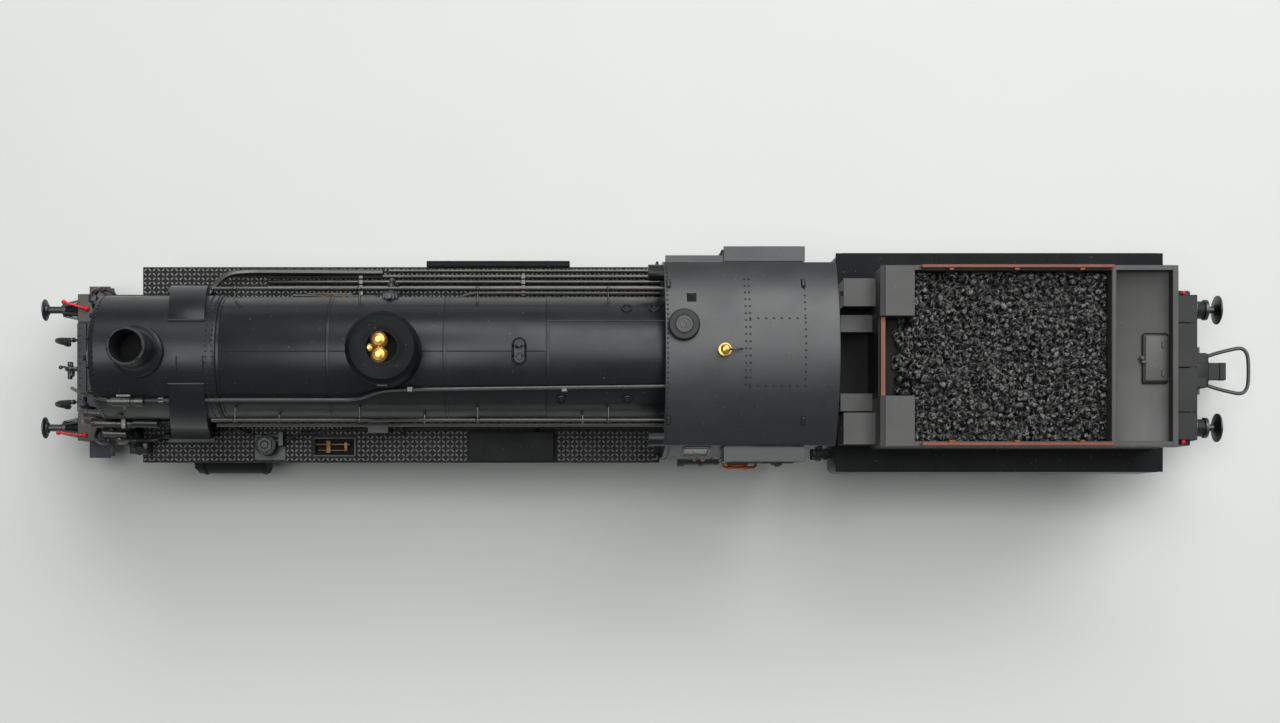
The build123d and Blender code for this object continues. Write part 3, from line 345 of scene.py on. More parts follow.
def rivet_line(start, end, pitch, normal):
    """Pairs of place and normal along a line, for rivets()."""
    return [(place, normal) for place in line_of(start, end, pitch)]


# %% [markdown]
# ## Fitting a piece
# Every finished piece goes through the same last steps: it is named, its smooth faces are shaded smooth
# and its corners left crisp, it gets its finish, and it is tied to the CAD body it moves with. When a
# piece stands for CAD nodes, those are hidden.

# %% Fit a piece
made = {}


def fit(obj, name, body, finish, slot, *nodes, angle=29):
    """Names, shades and paints a piece, or a list of pieces, and ties it to its body."""
    obj = settle(join(obj) if isinstance(obj, list) else obj)
    obj.name = name
    obj.data.name = name
    bpy.ops.object.shade_smooth_by_angle(angle=math.radians(angle))
    obj.data.materials.clear()
    obj.data.materials.append(finish)
    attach(obj, body)
    if nodes:
        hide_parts(*nodes)
    made[name] = len(obj.data.polygons)
    print(f"{name}: {len(obj.data.polygons)} faces, rides on {body}")
    return obj


# %% [markdown]
# ## Breaking the CAD's sharp edges
# Many CAD parts already have the right shape and only look unreal because their edges are razor sharp. A
# copy is merged, its flat faces are joined up again, and a bevel modifier rounds every corner by a tenth
# of a millimetre, about what paint does on a real model. The copy then stands for the CAD node.

# %% Soften a CAD node


def soften(node, body, finish, slot, edge=0.1, also=(), extra=(), angle=29, reshape=None):
    """A copy of a CAD node with its edges rounded by edge mm. extra pieces are joined to it."""
    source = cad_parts[node]
    piece = source.copy()
    piece.data = source.data.copy()
    piece.parent = None
    for key in [k for k in piece.keys() if k.startswith("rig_")]:
        del piece[key]
    bpy.context.scene.collection.objects.link(piece)
    edit(piece)
    bpy.ops.mesh.customdata_custom_splitnormals_clear()
    bpy.ops.mesh.remove_doubles(threshold=2e-6)
    bpy.ops.mesh.dissolve_limited(angle_limit=math.radians(0.6))
    deselect()
    if reshape:
        for vertex in piece.data.vertices:
            vertex.co = Vector(reshape(*(vertex.co / mm))) * mm
    pick(piece)
    if edge > 0:
        bevel = piece.modifiers.new("edges", "BEVEL")
        bevel.width = edge * mm
        bevel.segments = 2
        bevel.limit_method = "ANGLE"
        bevel.angle_limit = math.radians(40)
        bevel.use_clamp_overlap = True
        bpy.ops.object.modifier_apply(modifier=bevel.name)
    if extra:
        piece = join([piece, *extra])
    return fit(piece, node + "_finished", body, finish, slot, node, *also, angle=angle)

# %% [markdown]
# ## Finishes: the tools
# Every finish is a node material that reads Object coordinates, so it sits still on the piece. Real paint
# is never one flat colour: its shade drifts slowly over a hand's width, its gloss varies where it has been
# handled, and its surface has a fine grain. The tools below add a noise, a colour ramp and a bump with
# one line each.

# %% Node tools


class Recipe:
    """A new material and the nodes that make it."""

    def __init__(self, name):
        self.material = bpy.data.materials.new(name)
        self.material.use_nodes = True
        self.tree = self.material.node_tree
        self.shader = self.tree.nodes["Principled BSDF"]
        self.place = self.tree.nodes.new("ShaderNodeTexCoord").outputs["Object"]

    def add(self, kind, inputs=(), **settings):
        """A node with its settings and its inputs, which are values or sockets."""
        node = self.tree.nodes.new(kind)
        for key, value in settings.items():
            setattr(node, key, value)
        for key, value in dict(inputs).items():
            self.join(value, node.inputs[key])
        return node

    def join(self, value, socket):
        """Links a socket, or sets a plain value."""
        if isinstance(value, bpy.types.NodeSocket):
            self.tree.links.new(value, socket)
        else:
            socket.default_value = value

    def noise(self, size, detail=3.0, stretch=(1, 1, 1), roughness=0.55):
        """A noise with features about size mm across."""
        place = self.place
        if stretch != (1, 1, 1):
            place = self.add("ShaderNodeMapping", {"Vector": place, "Scale": stretch}).outputs["Vector"]
        settings = {"Vector": place, "Scale": 1 / (size * mm), "Detail": detail, "Roughness": roughness}
        return self.add("ShaderNodeTexNoise", settings).outputs["Fac"]

    def calc(self, operation, a, b=0.0, c=0.0):
        """One sum of a Math node."""
        return self.add("ShaderNodeMath", {0: a, 1: b, 2: c}, operation=operation).outputs["Value"]

    def spread(self, value, low, high, to_low=0.0, to_high=1.0):
        """Maps low..high to to_low..to_high, and stops there."""
        settings = {"Value": value, "From Min": low, "From Max": high, "To Min": to_low, "To Max": to_high}
        return self.add("ShaderNodeMapRange", settings).outputs["Result"]

    def blend(self, share, first, second):
        """A colour between first and second."""
        node = self.add("ShaderNodeMix", data_type="RGBA")
        self.join(share, node.inputs["Factor"])
        self.join(first, node.inputs[6])
        self.join(second, node.inputs[7])
        return node.outputs[2]

    def bump(self, height, depth, normal=None):
        """Raises the surface by height times depth mm."""
        inputs = {"Height": height, "Distance": depth * mm, "Strength": 1.0}
        if normal is not None:
            inputs["Normal"] = normal
        return self.add("ShaderNodeBump", inputs).outputs["Normal"]

    def finish(self, colour, roughness, metallic=0.0, normal=None, **more):
        """Fills the shader and gives the material."""
        self.join(colour, self.shader.inputs["Base Color"])
        self.join(roughness, self.shader.inputs["Roughness"])
        self.join(metallic, self.shader.inputs["Metallic"])
        if normal is not None:
            self.join(normal, self.shader.inputs["Normal"])
        for key, value in more.items():
            self.join(value, self.shader.inputs[key.replace("_", " ")])
        return self.material


def shade(colour, factor):
    """A colour made lighter or darker."""
    return (*(c * factor for c in colour), 1)


# %% [markdown]
# ## Painted metal
# The engine's blue-black enamel is semi-matt. Two noises drift its shade, a third varies its gloss, and a
# fine one gives it the faint grain of sprayed paint. A few specks of dust lie on it. The frames, the
# pipes and the red fittings are the same recipe with other numbers.

# %% Paint


def paint(name, colour, roughness=0.42, grain=0.004, dust=0.28, drift=0.22, shine=0.4):
    """Sprayed enamel with drifting shade, varied gloss and a few specks of dust."""
    r = Recipe(name)
    slow = r.noise(22, 4)
    fine = r.noise(1.6, 3)
    share = r.calc("ADD", r.calc("MULTIPLY", slow, 0.7), r.calc("MULTIPLY", fine, 0.3))
    base = r.blend(r.spread(share, 0.3, 0.7), shade(colour, 1 - drift), shade(colour, 1 + drift))
    speck = r.spread(r.noise(0.42, 1.0), 0.75, 0.775, 0.0, dust)
    base = r.blend(speck, base, (0.22, 0.22, 0.21, 1))
    gloss = r.spread(r.noise(6, 4), 0.3, 0.7, roughness - 0.05, roughness + 0.07)
    normal = r.bump(r.noise(0.22, 2), grain)
    return r.finish(base, gloss, normal=normal, Specular_IOR_Level=shine)


black_paint = paint("blue_black_enamel", (0.0080, 0.0102, 0.0122), 0.34, shine=0.34)
roof_paint = paint("roof_enamel", (0.019, 0.021, 0.022), 0.37, shine=0.60)
# a darker, duller copy of the blue-black enamel; on the tank top, the dome and the cylinders its extra darkness is
# painted shade
dark_paint_and_shade = paint("dark_enamel_and_shade", (0.0045, 0.0052, 0.0060), 0.44, shine=0.10)
# a lighter grey copy of the blue-black enamel: the grey is a painted sheen standing for the overhead light on the
# tender's flat tops
sheen_deck_paint = paint("deck_sheen_enamel", (0.040, 0.0405, 0.038), 0.42, shine=0.5)
board_paint = paint("board_paint", (0.008, 0.0085, 0.0085), 0.55, shine=0.2)
# a light grey painted highlight for rims and raised tops that catch the light
highlight_grey = paint("highlight_grey", (0.165, 0.166, 0.158), 0.34, grain=0.001, dust=0.1, drift=0.4)
# a light grey for flat lids and caps, a painted sheen of the overhead light
sheen_grey_sheet = paint("sheen_grey_sheet", (0.075, 0.077, 0.072), 0.42)
brown_deck = paint("dusty_deck", (0.072, 0.064, 0.052), 0.5)
frame_paint = paint("frame_black", (0.010, 0.0105, 0.011), 0.5, dust=0.2)
pipe_paint = paint("pipe_black", (0.022, 0.024, 0.024), 0.28, grain=0.001, dust=0.1)
red_paint = paint("signal_red", (0.58, 0.018, 0.02), 0.35, grain=0.001, dust=0.1)
# near-black: real soot in the chimney and on the dark joints, and painted shade in recesses and at the foot of small
# plates
soot_and_shade = paint("soot_and_shade", (0.004, 0.004, 0.0045), 0.8, dust=0.0)
# one step colour as a lit and a shaded copy: the brown is painted light, the dark blue painted shade
lit_step_paint = paint("lit_step", (0.095, 0.055, 0.045), 0.6, dust=0.3)
shaded_step_paint = paint("shaded_step", (0.028, 0.034, 0.055), 0.5, dust=0.2)
print("paints:", len(bpy.data.materials))

# %% [markdown]
# ## Chequer plate
# The fall plate between engine and tender is chequered so that the crew doesn't slip. The pattern is a grid
# of small lozenges, each turned a quarter against its neighbours. It is worked out with plain sums on the
# coordinates: which cell a point is in, how far it is from that cell's middle, and whether the lozenge
# covers it. The running boards are seen closer, and get real lozenges further down.

# %% Tread


def tread(name, colour, pitch=0.64):
    """Raised lozenges pitch mm apart, alternately turned, their tops painted lighter as a painted highlight."""
    r = Recipe(name)
    parts = r.add("ShaderNodeSeparateXYZ", {"Vector": r.place})
    cells, local = [], []
    for axis in ("X", "Y"):
        scaled = r.calc("DIVIDE", parts.outputs[axis], pitch * mm)
        cell = r.calc("FLOOR", scaled)
        cells.append(cell)
        local.append(r.calc("SUBTRACT", r.calc("SUBTRACT", scaled, cell), 0.5))
    odd = r.calc("MODULO", r.calc("ADD", r.calc("ADD", *cells), 2000), 2.0)
    along = r.calc("ADD", local[0], local[1])
    across = r.calc("SUBTRACT", local[0], local[1])

    def swap(a, b):
        return r.calc("ADD", r.calc("MULTIPLY", odd, a), r.calc("MULTIPLY", r.calc("SUBTRACT", 1.0, odd), b))

    long_side = r.calc("DIVIDE", r.calc("ABSOLUTE", swap(along, across)), 0.62)
    short_side = r.calc("DIVIDE", r.calc("ABSOLUTE", swap(across, along)), 0.2)
    height = r.spread(r.calc("ADD", long_side, short_side), 1.05, 0.6)
    slow = r.noise(9, 4)
    lit_tops = r.calc("MULTIPLY", height, r.spread(slow, 0.3, 0.7, 0.55, 1.0))
    # the lighter tops are a painted highlight
    base = r.blend(lit_tops, shade(colour, 0.08), shade(colour, 6.4))
    gloss = r.spread(height, 0.0, 1.0, 0.62, 0.36)
    normal = r.bump(r.noise(0.2, 2), 0.003, r.bump(height, 0.15))
    return r.finish(base, gloss, normal=normal)


tread_plate = tread("chequer_plate", (0.052, 0.052, 0.049))
print("chequer plate: lozenges 0.64 mm apart")

# %% [markdown]
# ## Bare metals
# Brass, turned steel and the pale drawn steel of the rods differ in colour and in how they were worked. A
# noise stretched along one direction gives the fine lines that a file or a lathe leaves, and it moves the
# roughness too, so that the shine breaks up.

# %% Metals


def metal(name, colour, roughness, stretch=(1, 6, 6), marks=0.0015, tarnish=0.3):
    """Worked metal with fine marks and a slow tarnish."""
    r = Recipe(name)
    dull = r.spread(r.noise(5, 4), 0.35, 0.75, 0.0, tarnish)
    base = r.blend(dull, shade(colour, 1.0), shade(colour, 0.45))
    lines = r.noise(0.6, 3, stretch)
    gloss = r.calc(
        "ADD", r.spread(lines, 0.3, 0.7, roughness - 0.06, roughness + 0.1), r.calc("MULTIPLY", dull, 0.25),
    )
    return r.finish(base, gloss, 1.0, r.bump(lines, marks))


brass = metal("polished_brass", (0.54, 0.31, 0.09), 0.25, (1, 1, 1), 0.001, 0.3)
aged_brass = metal("aged_brass", (0.11, 0.068, 0.034), 0.4, (1, 1, 1), 0.002, 0.5)
pipe_metal = metal("oiled_pipe", (0.105, 0.104, 0.096), 0.34, (6, 1, 1), 0.001, 0.35)
copper = metal("injector_copper", (0.50, 0.17, 0.07), 0.38, (1, 1, 1))
wheel_steel = metal("tyre_steel", (0.42, 0.41, 0.39), 0.3, (1, 1, 1))
rod_steel = metal("rod_steel", (0.33, 0.325, 0.315), 0.34, (1, 5, 5))
dark_steel = metal("blackened_steel", (0.085, 0.087, 0.09), 0.36, (1, 1, 1))
zinc = metal("cast_zinc", (0.38, 0.39, 0.40), 0.5, (1, 1, 1), 0.004)
rail_metal = paint("oxide_rail", (0.19, 0.062, 0.032), 0.42, grain=0.003, dust=0.3)

# %% [markdown]
# ## Coal, glass, plastic and card
# Real coal breaks along flat shiny faces, so its gloss changes from lump to lump. Glazing is clear and
# slightly tinted. The gears are white nylon and the circuit board is green, though both are hardly seen.
# The floor is pale card. Far from the lamps it glows faintly, for the camera alone, so that it stays
# pale to its edge and lights nothing.

# %% Other finishes


def coal_finish():
    """Black, with a grey painted highlight along the broken edges of the lumps."""
    r = Recipe("coal")
    size = {"Vector": r.place, "Scale": 1 / (1.05 * mm)}
    crack = r.add("ShaderNodeTexVoronoi", size, feature="DISTANCE_TO_EDGE").outputs["Distance"]
    tone = r.add(
        "ShaderNodeSeparateColor", {"Color": r.add("ShaderNodeTexVoronoi", size).outputs["Color"]},
    ).outputs["Red"]
    base = r.blend(tone, (0.0028, 0.0028, 0.003, 1), (0.011, 0.011, 0.011, 1))
    # the grey along the lumps' edges is a painted highlight
    base = r.blend(r.spread(crack, 0.10, 0.03), base, (0.10, 0.10, 0.096, 1))
    gloss = r.spread(tone, 0.0, 1.0, 0.25, 0.45)
    normal = r.bump(r.noise(0.3, 4), 0.02, r.bump(r.spread(crack, 0.0, 0.3), 0.10))
    return r.finish(base, gloss, normal=normal, Specular_IOR_Level=0.5)


def glass():
    """Clear glazing with a faint smear."""
    r = Recipe("glazing")
    gloss = r.spread(r.noise(3, 4), 0.4, 0.8, 0.03, 0.16)
    return r.finish((0.86, 0.9, 0.88, 1), gloss, Transmission_Weight=0.9)


def plastic(name, colour, roughness=0.45):
    """Moulded plastic with a slight mottle."""
    r = Recipe(name)
    base = r.blend(r.noise(4, 3), shade(colour, 0.85), shade(colour, 1.15))
    return r.finish(
        base, r.spread(r.noise(1, 2), 0.3, 0.7, roughness - 0.05, roughness + 0.05),
        normal=r.bump(r.noise(0.4, 2), 0.002),
    )


coal = coal_finish()
glazing = glass()
# opaque pale grey for the side windows, a painted reflection of the pale room
painted_reflection_glass = plastic("window_painted_reflection", (0.30, 0.325, 0.30), 0.25)
nylon = plastic("gear_nylon", (0.75, 0.72, 0.62))
circuit_green = plastic("circuit_green", (0.02, 0.16, 0.06), 0.35)
rubber = plastic("hose_rubber", (0.016, 0.016, 0.018), 0.55)


def card(name, colour):
    """Plain matt card with hardly any grain, which stays pale to the eye where the lamps don't reach."""
    r = Recipe(name)
    reach = r.add("ShaderNodeVectorMath", {0: r.place}, operation="LENGTH").outputs["Value"]
    eye = r.add("ShaderNodeLightPath").outputs["Is Camera Ray"]
    glow = r.calc("MULTIPLY", eye, r.spread(reach, 0.22, 1.6, 0.0, 0.74))
    surface = r.blend(r.noise(30, 2), shade(colour, 0.985), shade(colour, 1.015))
    return r.finish(
        surface, 0.75, normal=r.bump(r.noise(0.5, 2), 0.001), Emission_Color=(0.95, 0.975, 0.97, 1),
        Emission_Strength=glow,
    )


floor_finish = card("pale_card", (0.715, 0.735, 0.715))
print("finishes:", len(bpy.data.materials))

# %% [markdown]
# ## Boiler
# The boiler of a real engine is lagged and clad in thin sheet, and bands hold the sheet where two lengths
# meet. A seam runs along the top. The CAD tube is right as it is, so a softened copy carries the paint.
# The bands are hoops spun around it, less than a tenth of a millimetre proud, and a thinner sooty hoop
# beside each band and a strip along the top draw the dark joints.

# %% Boiler with its bands


def hoop(x, width, radius, proud=0.12):
    """A flat band around the boiler at x."""
    inner = radius - 0.1
    outer = radius + proud
    section = [(inner, 0), (outer, 0.05), (outer, width - 0.05), (inner, width)]
    return turned((x - width / 2, 0, boiler_z), section, "X", 96)


band_x = (-68.4, -51.4, -33.3, -17.4)
bands = [hoop(x, 0.45, boiler_radius, 0.07) for x in band_x]
joints = [hoop(x - 0.3, 0.16, boiler_radius, 0.035) for x in band_x]
top = boiler_surface(0)
joints.append(plate((-68.0, -0.09, top - 0.2), (-17.9, 0.09, top + 0.03), 0.02))
lap_z = boiler_surface(4.85)
lap = plate((-17.6, 4.78, lap_z - 0.3), (0.9, 4.92, lap_z + 0.1), 0.02)
soften("boiler", "locomotive", black_paint, "black_paint", 0.08, extra=[*bands, lap])
fit(joints, "boiler_joints", "locomotive", soot_and_shade, "black_paint")

# %% [markdown]
# ## Washout plugs and the oval plate
# Boilers are washed out through screwed plugs, which sit in shallow cups on the firebox and along the
# barrel. The oval plate over the firebox covers two more and is held by two studs. Each plug
# is a short turned cup with a square head in it, leaning outwards along the round of the boiler.

# %% Plugs


def plug():
    """A cup with a raised rim and a square head, at the origin."""
    cup = turned(
        (0, 0, 0), [(0, -0.1), (0.92, -0.1), (0.92, 0.1), (0.84, 0.2), (0.66, 0.2), (0.6, 0.02), (0, 0.02)], steps=24,
    )
    head = plate((-0.22, -0.5, 0), (0.22, 0.5, 0.24), 0.05)
    return join([cup, head])


def boiler_place(x, y, radius=boiler_radius):
    """Place and normal of the boiler's surface above y."""
    return (x, y, boiler_surface(y, radius)), (0, y, boiler_surface(y, radius) - boiler_z)


spots = [(-5.2, 7.0), (-0.9, 7.0), (-15.4, -7.2), (-5.1, -7.2)]
plugs = stamp(plug(), [upright(*boiler_place(x, y)) for x, y in spots])
fit(plugs, "washout_plugs", "locomotive", black_paint, "black_paint")

crown, oval_x = boiler_surface(0), -21.85
tiers = []
for radius, top in ((1.16, 0.16), (0.84, 0.42)):
    tiers.append(plate((oval_x - radius, -1.0, crown - 0.3), (oval_x + radius, 1.0, crown + top), 0.06))
    tiers += [rod((oval_x, y, crown - 0.3), (oval_x, y, crown + top), radius, sides=28) for y in (-1.0, 1.0)]
studs = [rod((oval_x, y, crown), (oval_x, y, crown + 0.75), 0.42, sides=14) for y in (-1.0, 1.0)]
# the lower tier's dark rim is painted shade at the plate's edge
fit(tiers[:3], "oval_plate_edge", "locomotive", soot_and_shade, "black_paint")
fit([*tiers[3:], *studs], "oval_plate", "locomotive", black_paint, "black_paint")

# %% [markdown]
# ## Smokebox
# The smokebox is riveted to the boiler, with one row of rivets at its front ring and a row on each side
# of the rear joint. A small square hatch lies behind the chimney. The rivets are stamped along arcs
# around the drum, which gets a skin a hair thicker than the CAD's, and dark wires draw the hatch.

# %% Smokebox rivets and hatch


def arc_of_rivets(x, radius, start, stop, count):
    """Rivets on a round of the given radius at x, from one angle to another, measured from the top."""
    places = []
    for k in range(count + 1):
        a = math.radians(start + (stop - start) * k / count)
        normal = (0, math.sin(a), math.cos(a))
        places.append(((x, radius * normal[1], boiler_z + radius * normal[2]), normal))
    return places


rows = []
for x in (-87.5, -70.1, -69.15):
    rows += arc_of_rivets(x, smokebox_radius + 0.02, -150, 150, 60)
rivet_rows = rivets(rows, 0.165)
hatch_edges = []
hatch_corners = [
    (x, y, boiler_surface(y, smokebox_radius) + 0.02)
    for x, y in ((-74.6, -0.7), (-74.6, -2.0), (-74.6, -3.2), (-70.5, -3.2), (-70.5, -2.0), (-70.5, -0.7))
]
for start, end in zip(hatch_corners, hatch_corners[1:]):
    hatch_edges.append(rod(start, end, 0.11, sides=8))
drum = hoop(-78.3, 18.4, smokebox_radius, 0.03)
soften("smokebox", "locomotive", black_paint, "black_paint", 0.15, extra=[rivet_rows, drum])
fit(hatch_edges, "hatch_joints", "locomotive", soot_and_shade, "black_paint")

# %% [markdown]
# ## Smokebox door
# The door is a dished plate, pressed for stiffness, with a rim, two long hinge straps, a central dart
# with two handles and a ring of clamps. It is spun in one piece, and the straps and handles are laid
# over it.

# %% Door
door_x = -88.1
dish = [
    (0, 2.15), (2.2, 2.05), (4.6, 1.7), (6.6, 1.05), (7.5, 0.62), (7.9, 0.55), (8.5, 0.5), (8.55, 0.35), (8.55, 0.0),
    (0, 0.0),
]
door = turned((door_x, 0, boiler_z), dish, "-X", 72)
straps = []
for z in (boiler_z - 3, boiler_z + 3):
    straps.append(
        pipe([(door_x - 1.55, 0.6, z), (door_x - 1.4, 3.6, z), (door_x - 0.85, 6.4, z), (door_x - 0.5, 8.2, z)], 0.3),
    )
hinge = rod((door_x - 0.5, 8.3, boiler_z - 4), (door_x - 0.5, 8.3, boiler_z + 4), 0.35)
dart = turned(
    (door_x - 2.0, 0, boiler_z), [(0, 1.5), (0.5, 1.5), (0.55, 0.7), (0.9, 0.6), (0.9, 0), (0, 0)], "-X", 24,
)
handles = [
    pipe([(door_x - 3.2, 0, boiler_z), (door_x - 3.3, 1.2, boiler_z - 1.6)], 0.18),
    pipe([(door_x - 2.8, 0, boiler_z), (door_x - 2.9, -0.9, boiler_z - 1.9)], 0.18),
]
clamps = []
for z, y in around(12, 8.45, 15):
    clamps.append(hexagon((door_x - 0.3, y, boiler_z + z), (door_x - 0.85, y, boiler_z + z), 0.42))
fit(
    [door, *straps, hinge, dart, *handles, *clamps], "door_finished", "locomotive", black_paint, "black_paint",
    "smokebox_door",
)

# %% [markdown]
# ## Chimney
# A cast chimney flares into a saddle that hugs the smokebox, and its mouth has a rolled lip. Inside, it is
# black with soot. The CAD gives the saddle, so a softened copy keeps it, and a spun lip and a sooty
# liner are added to it.

# %% Chimney lip, liner and saddle bolts
chimney_x, chimney_top = -80.5, 49.2
lip = turned(
    (chimney_x, 0, chimney_top),
    [(2.52, -0.9), (2.85, -0.9), (2.95, -0.5), (2.95, -0.2), (2.8, 0), (2.62, 0), (2.5, -0.15), (2.52, -0.9)],
    steps=56,
)
saddle = turned(
    (chimney_x, 0, 42.0), [(2.85, 2.2), (2.95, 1.4), (3.3, 0.9), (3.9, 0.55), (4.0, 0.25), (3.8, -0.2)], steps=56,
)
bolts = []
for x, y in around(8, 3.65, 22.5):
    z = boiler_surface(y, smokebox_radius)
    bolts.append(hexagon((chimney_x + x, y, z + 0.1), (chimney_x + x, y, z + 0.62), 0.22))
soften("chimney", "locomotive", black_paint, "black_paint", 0.12, extra=[lip, saddle, *bolts])
# the rim's light grey is a painted highlight
rim = turned(
    (chimney_x, 0, chimney_top),
    [(2.55, -0.14), (2.62, -0.02), (2.76, 0), (2.88, -0.06), (2.88, -0.2), (2.55, -0.2), (2.55, -0.14)], steps=56,
)
fit(rim, "chimney_rim", "locomotive", highlight_grey, "black_paint")
liner = turned((chimney_x, 0, 0), [(2.47, chimney_top - 0.3), (2.44, 42.6), (0, 42.4)], steps=40)
edit(liner)
bpy.ops.mesh.flip_normals()
fit(liner, "chimney_liner", "locomotive", soot_and_shade, "black_paint")

# %% [markdown]
# ## Dome and safety valves
# The dome is turned with a raised lip and stands on a thin flange with a bead around it. In its mouth sit
# two large safety valves and a small one, turned from brass. Each valve is spun from its own
# profile: a stepped body, a domed cap and a spindle with a nut.

# %% Dome
dome_x, dome_top = -42.4, 47.7
dome_profile = [
    (2.22, dome_top - 1.6), (2.24, dome_top - 0.14), (2.36, dome_top), (2.9, dome_top - 0.02), (4.6, dome_top - 0.28),
    (5.15, dome_top - 0.62), (5.42, dome_top - 1.15), (5.5, dome_top - 2.0), (5.5, 40.5), (5.58, 39.4), (5.6, 38.0),
]
dome_shell = turned((dome_x, 0, 0), dome_profile, steps=72)
bead = turned(
    (dome_x, 0, 0), [(5.38, dome_top - 1.5), (5.6, dome_top - 1.42), (5.6, dome_top - 1.2), (5.36, dome_top - 1.1)],
    steps=72,
)
lug = plate((dome_x - 0.9, -5.9, dome_top - 2.2), (dome_x + 0.9, -5.2, dome_top - 1.2), 0.15)
# the dome takes the darker enamel as painted shade
soften("steam_dome", "locomotive", dark_paint_and_shade, "black_paint", 0.1, extra=[dome_shell, bead])
# the dome's well is near-black, painted shade in its mouth
well = turned((dome_x, 0, 0), [(2.21, dome_top - 0.5), (2.2, dome_top - 2.5), (0, dome_top - 2.52)], steps=40)
edit(well)
bpy.ops.mesh.flip_normals()
fit(well, "dome_well", "locomotive", soot_and_shade, "black_paint")
fit(lug, "dome_lug", "locomotive", black_paint, "black_paint")

# %% Safety valves and whistle


def valve(x, y, z, radius):
    """A pop valve: stepped body, domed cap, spindle nut."""
    r = radius
    body = [
        (0, 0), (r, 0), (r, 1.3 * r), (0.82 * r, 1.42 * r), (0.82 * r, 1.6 * r), (r, 1.7 * r), (0.96 * r, 2.0 * r),
        (0.7 * r, 2.25 * r), (0.36 * r, 2.34 * r), (0.34 * r, 2.6 * r), (0, 2.62 * r),
    ]
    return turned((x, y, z), body, steps=28)


valve_seat = dome_top - 2.6
valves = [
    valve(-42.8, 1.12, valve_seat, 1.3), valve(-42.8, -1.12, valve_seat, 1.3), valve(-44.35, 0, valve_seat, 0.8),
]
roof_top = 42.9
whistle_body = [
    (0, 0), (0.55, 0), (0.55, 0.5), (0.32, 0.6), (0.32, 0.9), (0.98, 1.05), (1.0, 1.3), (0.72, 1.35), (0.7, 2.4),
    (0.5, 2.7), (0.2, 2.78), (0, 2.8),
]
whistle = turned((9.6, 0, roof_top), whistle_body, steps=28)
lever = pipe([(9.9, 0, roof_top + 1.6), (11.3, 0.05, roof_top + 1.8), (12.3, 0.1, roof_top + 1.2)], 0.16)
fit([*valves, whistle], "valves_and_whistle_finished", "locomotive", brass, "brass", "valves_and_whistle")
fit(lever, "whistle_lever", "locomotive", dark_steel, "rod_steel")

# %% [markdown]
# ## Steam-pipe casings and running boards
# The curved casings cover the steam pipes between smokebox and cylinders. Their edges are flanged, so thin
# strips are added along the top and the foot, and they lean: their feet stand ahead of their tops. The
# running boards are chequer plate on a valance, with a
# smooth toolbox on the left and a battery box on the right. The left board has an opening over the motion.

# %% Casings
flanges = []
for side in (1, -1):
    y = side * 4.75
    flanges.append(plate((-77.35, y, 40.1), (-70.45, y + side * 0.35, 40.62), 0.1))
    flanges.append(plate((-77.9, side * 11.9, board_top - 0.1), (-69.9, side * 13.0, board_top + 0.42), 0.08))


def lean(x, y, z):
    """Moves the casings' feet forward, and leaves their tops where they are."""
    down = min(max((41.0 - z) / 20.5, 0), 1)
    return -73.3 - 3.6 * down ** 1.2 + (x + 73.9) * (0.84 + 0.16 * down), y, z


for flange in flanges:
    for vertex in flange.data.vertices:
        vertex.co = Vector(lean(*(vertex.co / mm))) * mm
soften("steam_pipe_casings", "locomotive", black_paint, "black_paint", 0.12, extra=flanges, reshape=lean)

# %% Chequered boards


def board(side, spans):
    """The board's plates between (x0, x1, inner, outer) spans, its valance and its sloping front."""
    pieces = []
    for x0, x1, inner, outer in spans:
        pieces.append(plate((x0, side * inner, board_top - 0.7), (x1, side * outer, board_top), 0.05))
    pieces.append(plate((-85.0, side * 15.75, board_top - 1.6), (0.9, side * 16.25, board_top - 0.6), 0.08))
    slope = plate((-90.5, side * 6.4, -0.35), (-85.0, side * 9.0, 0.35), 0.08)
    edit(slope)
    bpy.ops.mesh.select_all(action="DESELECT")
    mesh = bmesh.from_edit_mesh(slope.data)
    for v in mesh.verts:
        v.select = v.co.x < -88 * mm
    bmesh.update_edit_mesh(slope.data)
    bpy.ops.transform.translate(value=(0, 0, (deck_z + 0.35 - (board_top - 0.35)) * mm))
    deselect()
    slope.location = (0, 0, (board_top - 0.35) * mm)
    pieces.append(settle(slope))
    return pieces


right = board(1, [(-85.0, 0.9, 6.4, 16.25)])
left = board(
    -1,
    [(-85.0, -56.3, 6.4, 16.25), (-50.0, 0.9, 6.4, 16.25), (-56.4, -49.9, 6.4, 12.3), (-56.4, -49.9, 15.1, 16.25)],
)
fit([*right, *left], "chequered_boards", "locomotive", board_paint, "tread_plate", "running_boards")

# %% Raised lozenges
# one lozenge, stamped in rows that alternate in direction, and left out where the opening and toolbox are
lozenge_pitch = 0.74
LOZENGE_ROWS, LOZENGES_IN_A_ROW = 10, 115
deselect()
bpy.ops.mesh.primitive_cone_add(
    vertices=4, radius1=0.46 * mm, radius2=0.3 * mm, depth=0.2 * mm, location=(0, 0, 0.03 * mm),
)
lozenge = bpy.context.active_object
lozenge.scale = (1, 0.4, 1)
settle(lozenge)
lozenge_spots = []
for side in (1, -1):
    for row in range(LOZENGE_ROWS):
        for column in range(LOZENGES_IN_A_ROW):
            x, y = -84.6 + column * lozenge_pitch, side * (9.1 + row * lozenge_pitch)
            opening = side < 0 and -56.9 < x < -49.4 and -15.6 < y < -11.9
            under_toolbox = side < 0 and -31.0 < x < -16.4 and y < -11.0
            if opening or under_toolbox:
                continue
            turn = math.radians(45 if (row + column) % 2 else -45)
            lozenge_spots.append(Matrix.Translation(Vector((x, y, board_top)) * mm) @ Matrix.Rotation(turn, 4, "Z"))
# the lozenges' light grey is a painted highlight on their tops
fit(stamp(lozenge, lozenge_spots), "board_lozenges", "locomotive", highlight_grey, "tread_plate")
print("lozenges:", len(lozenge_spots))

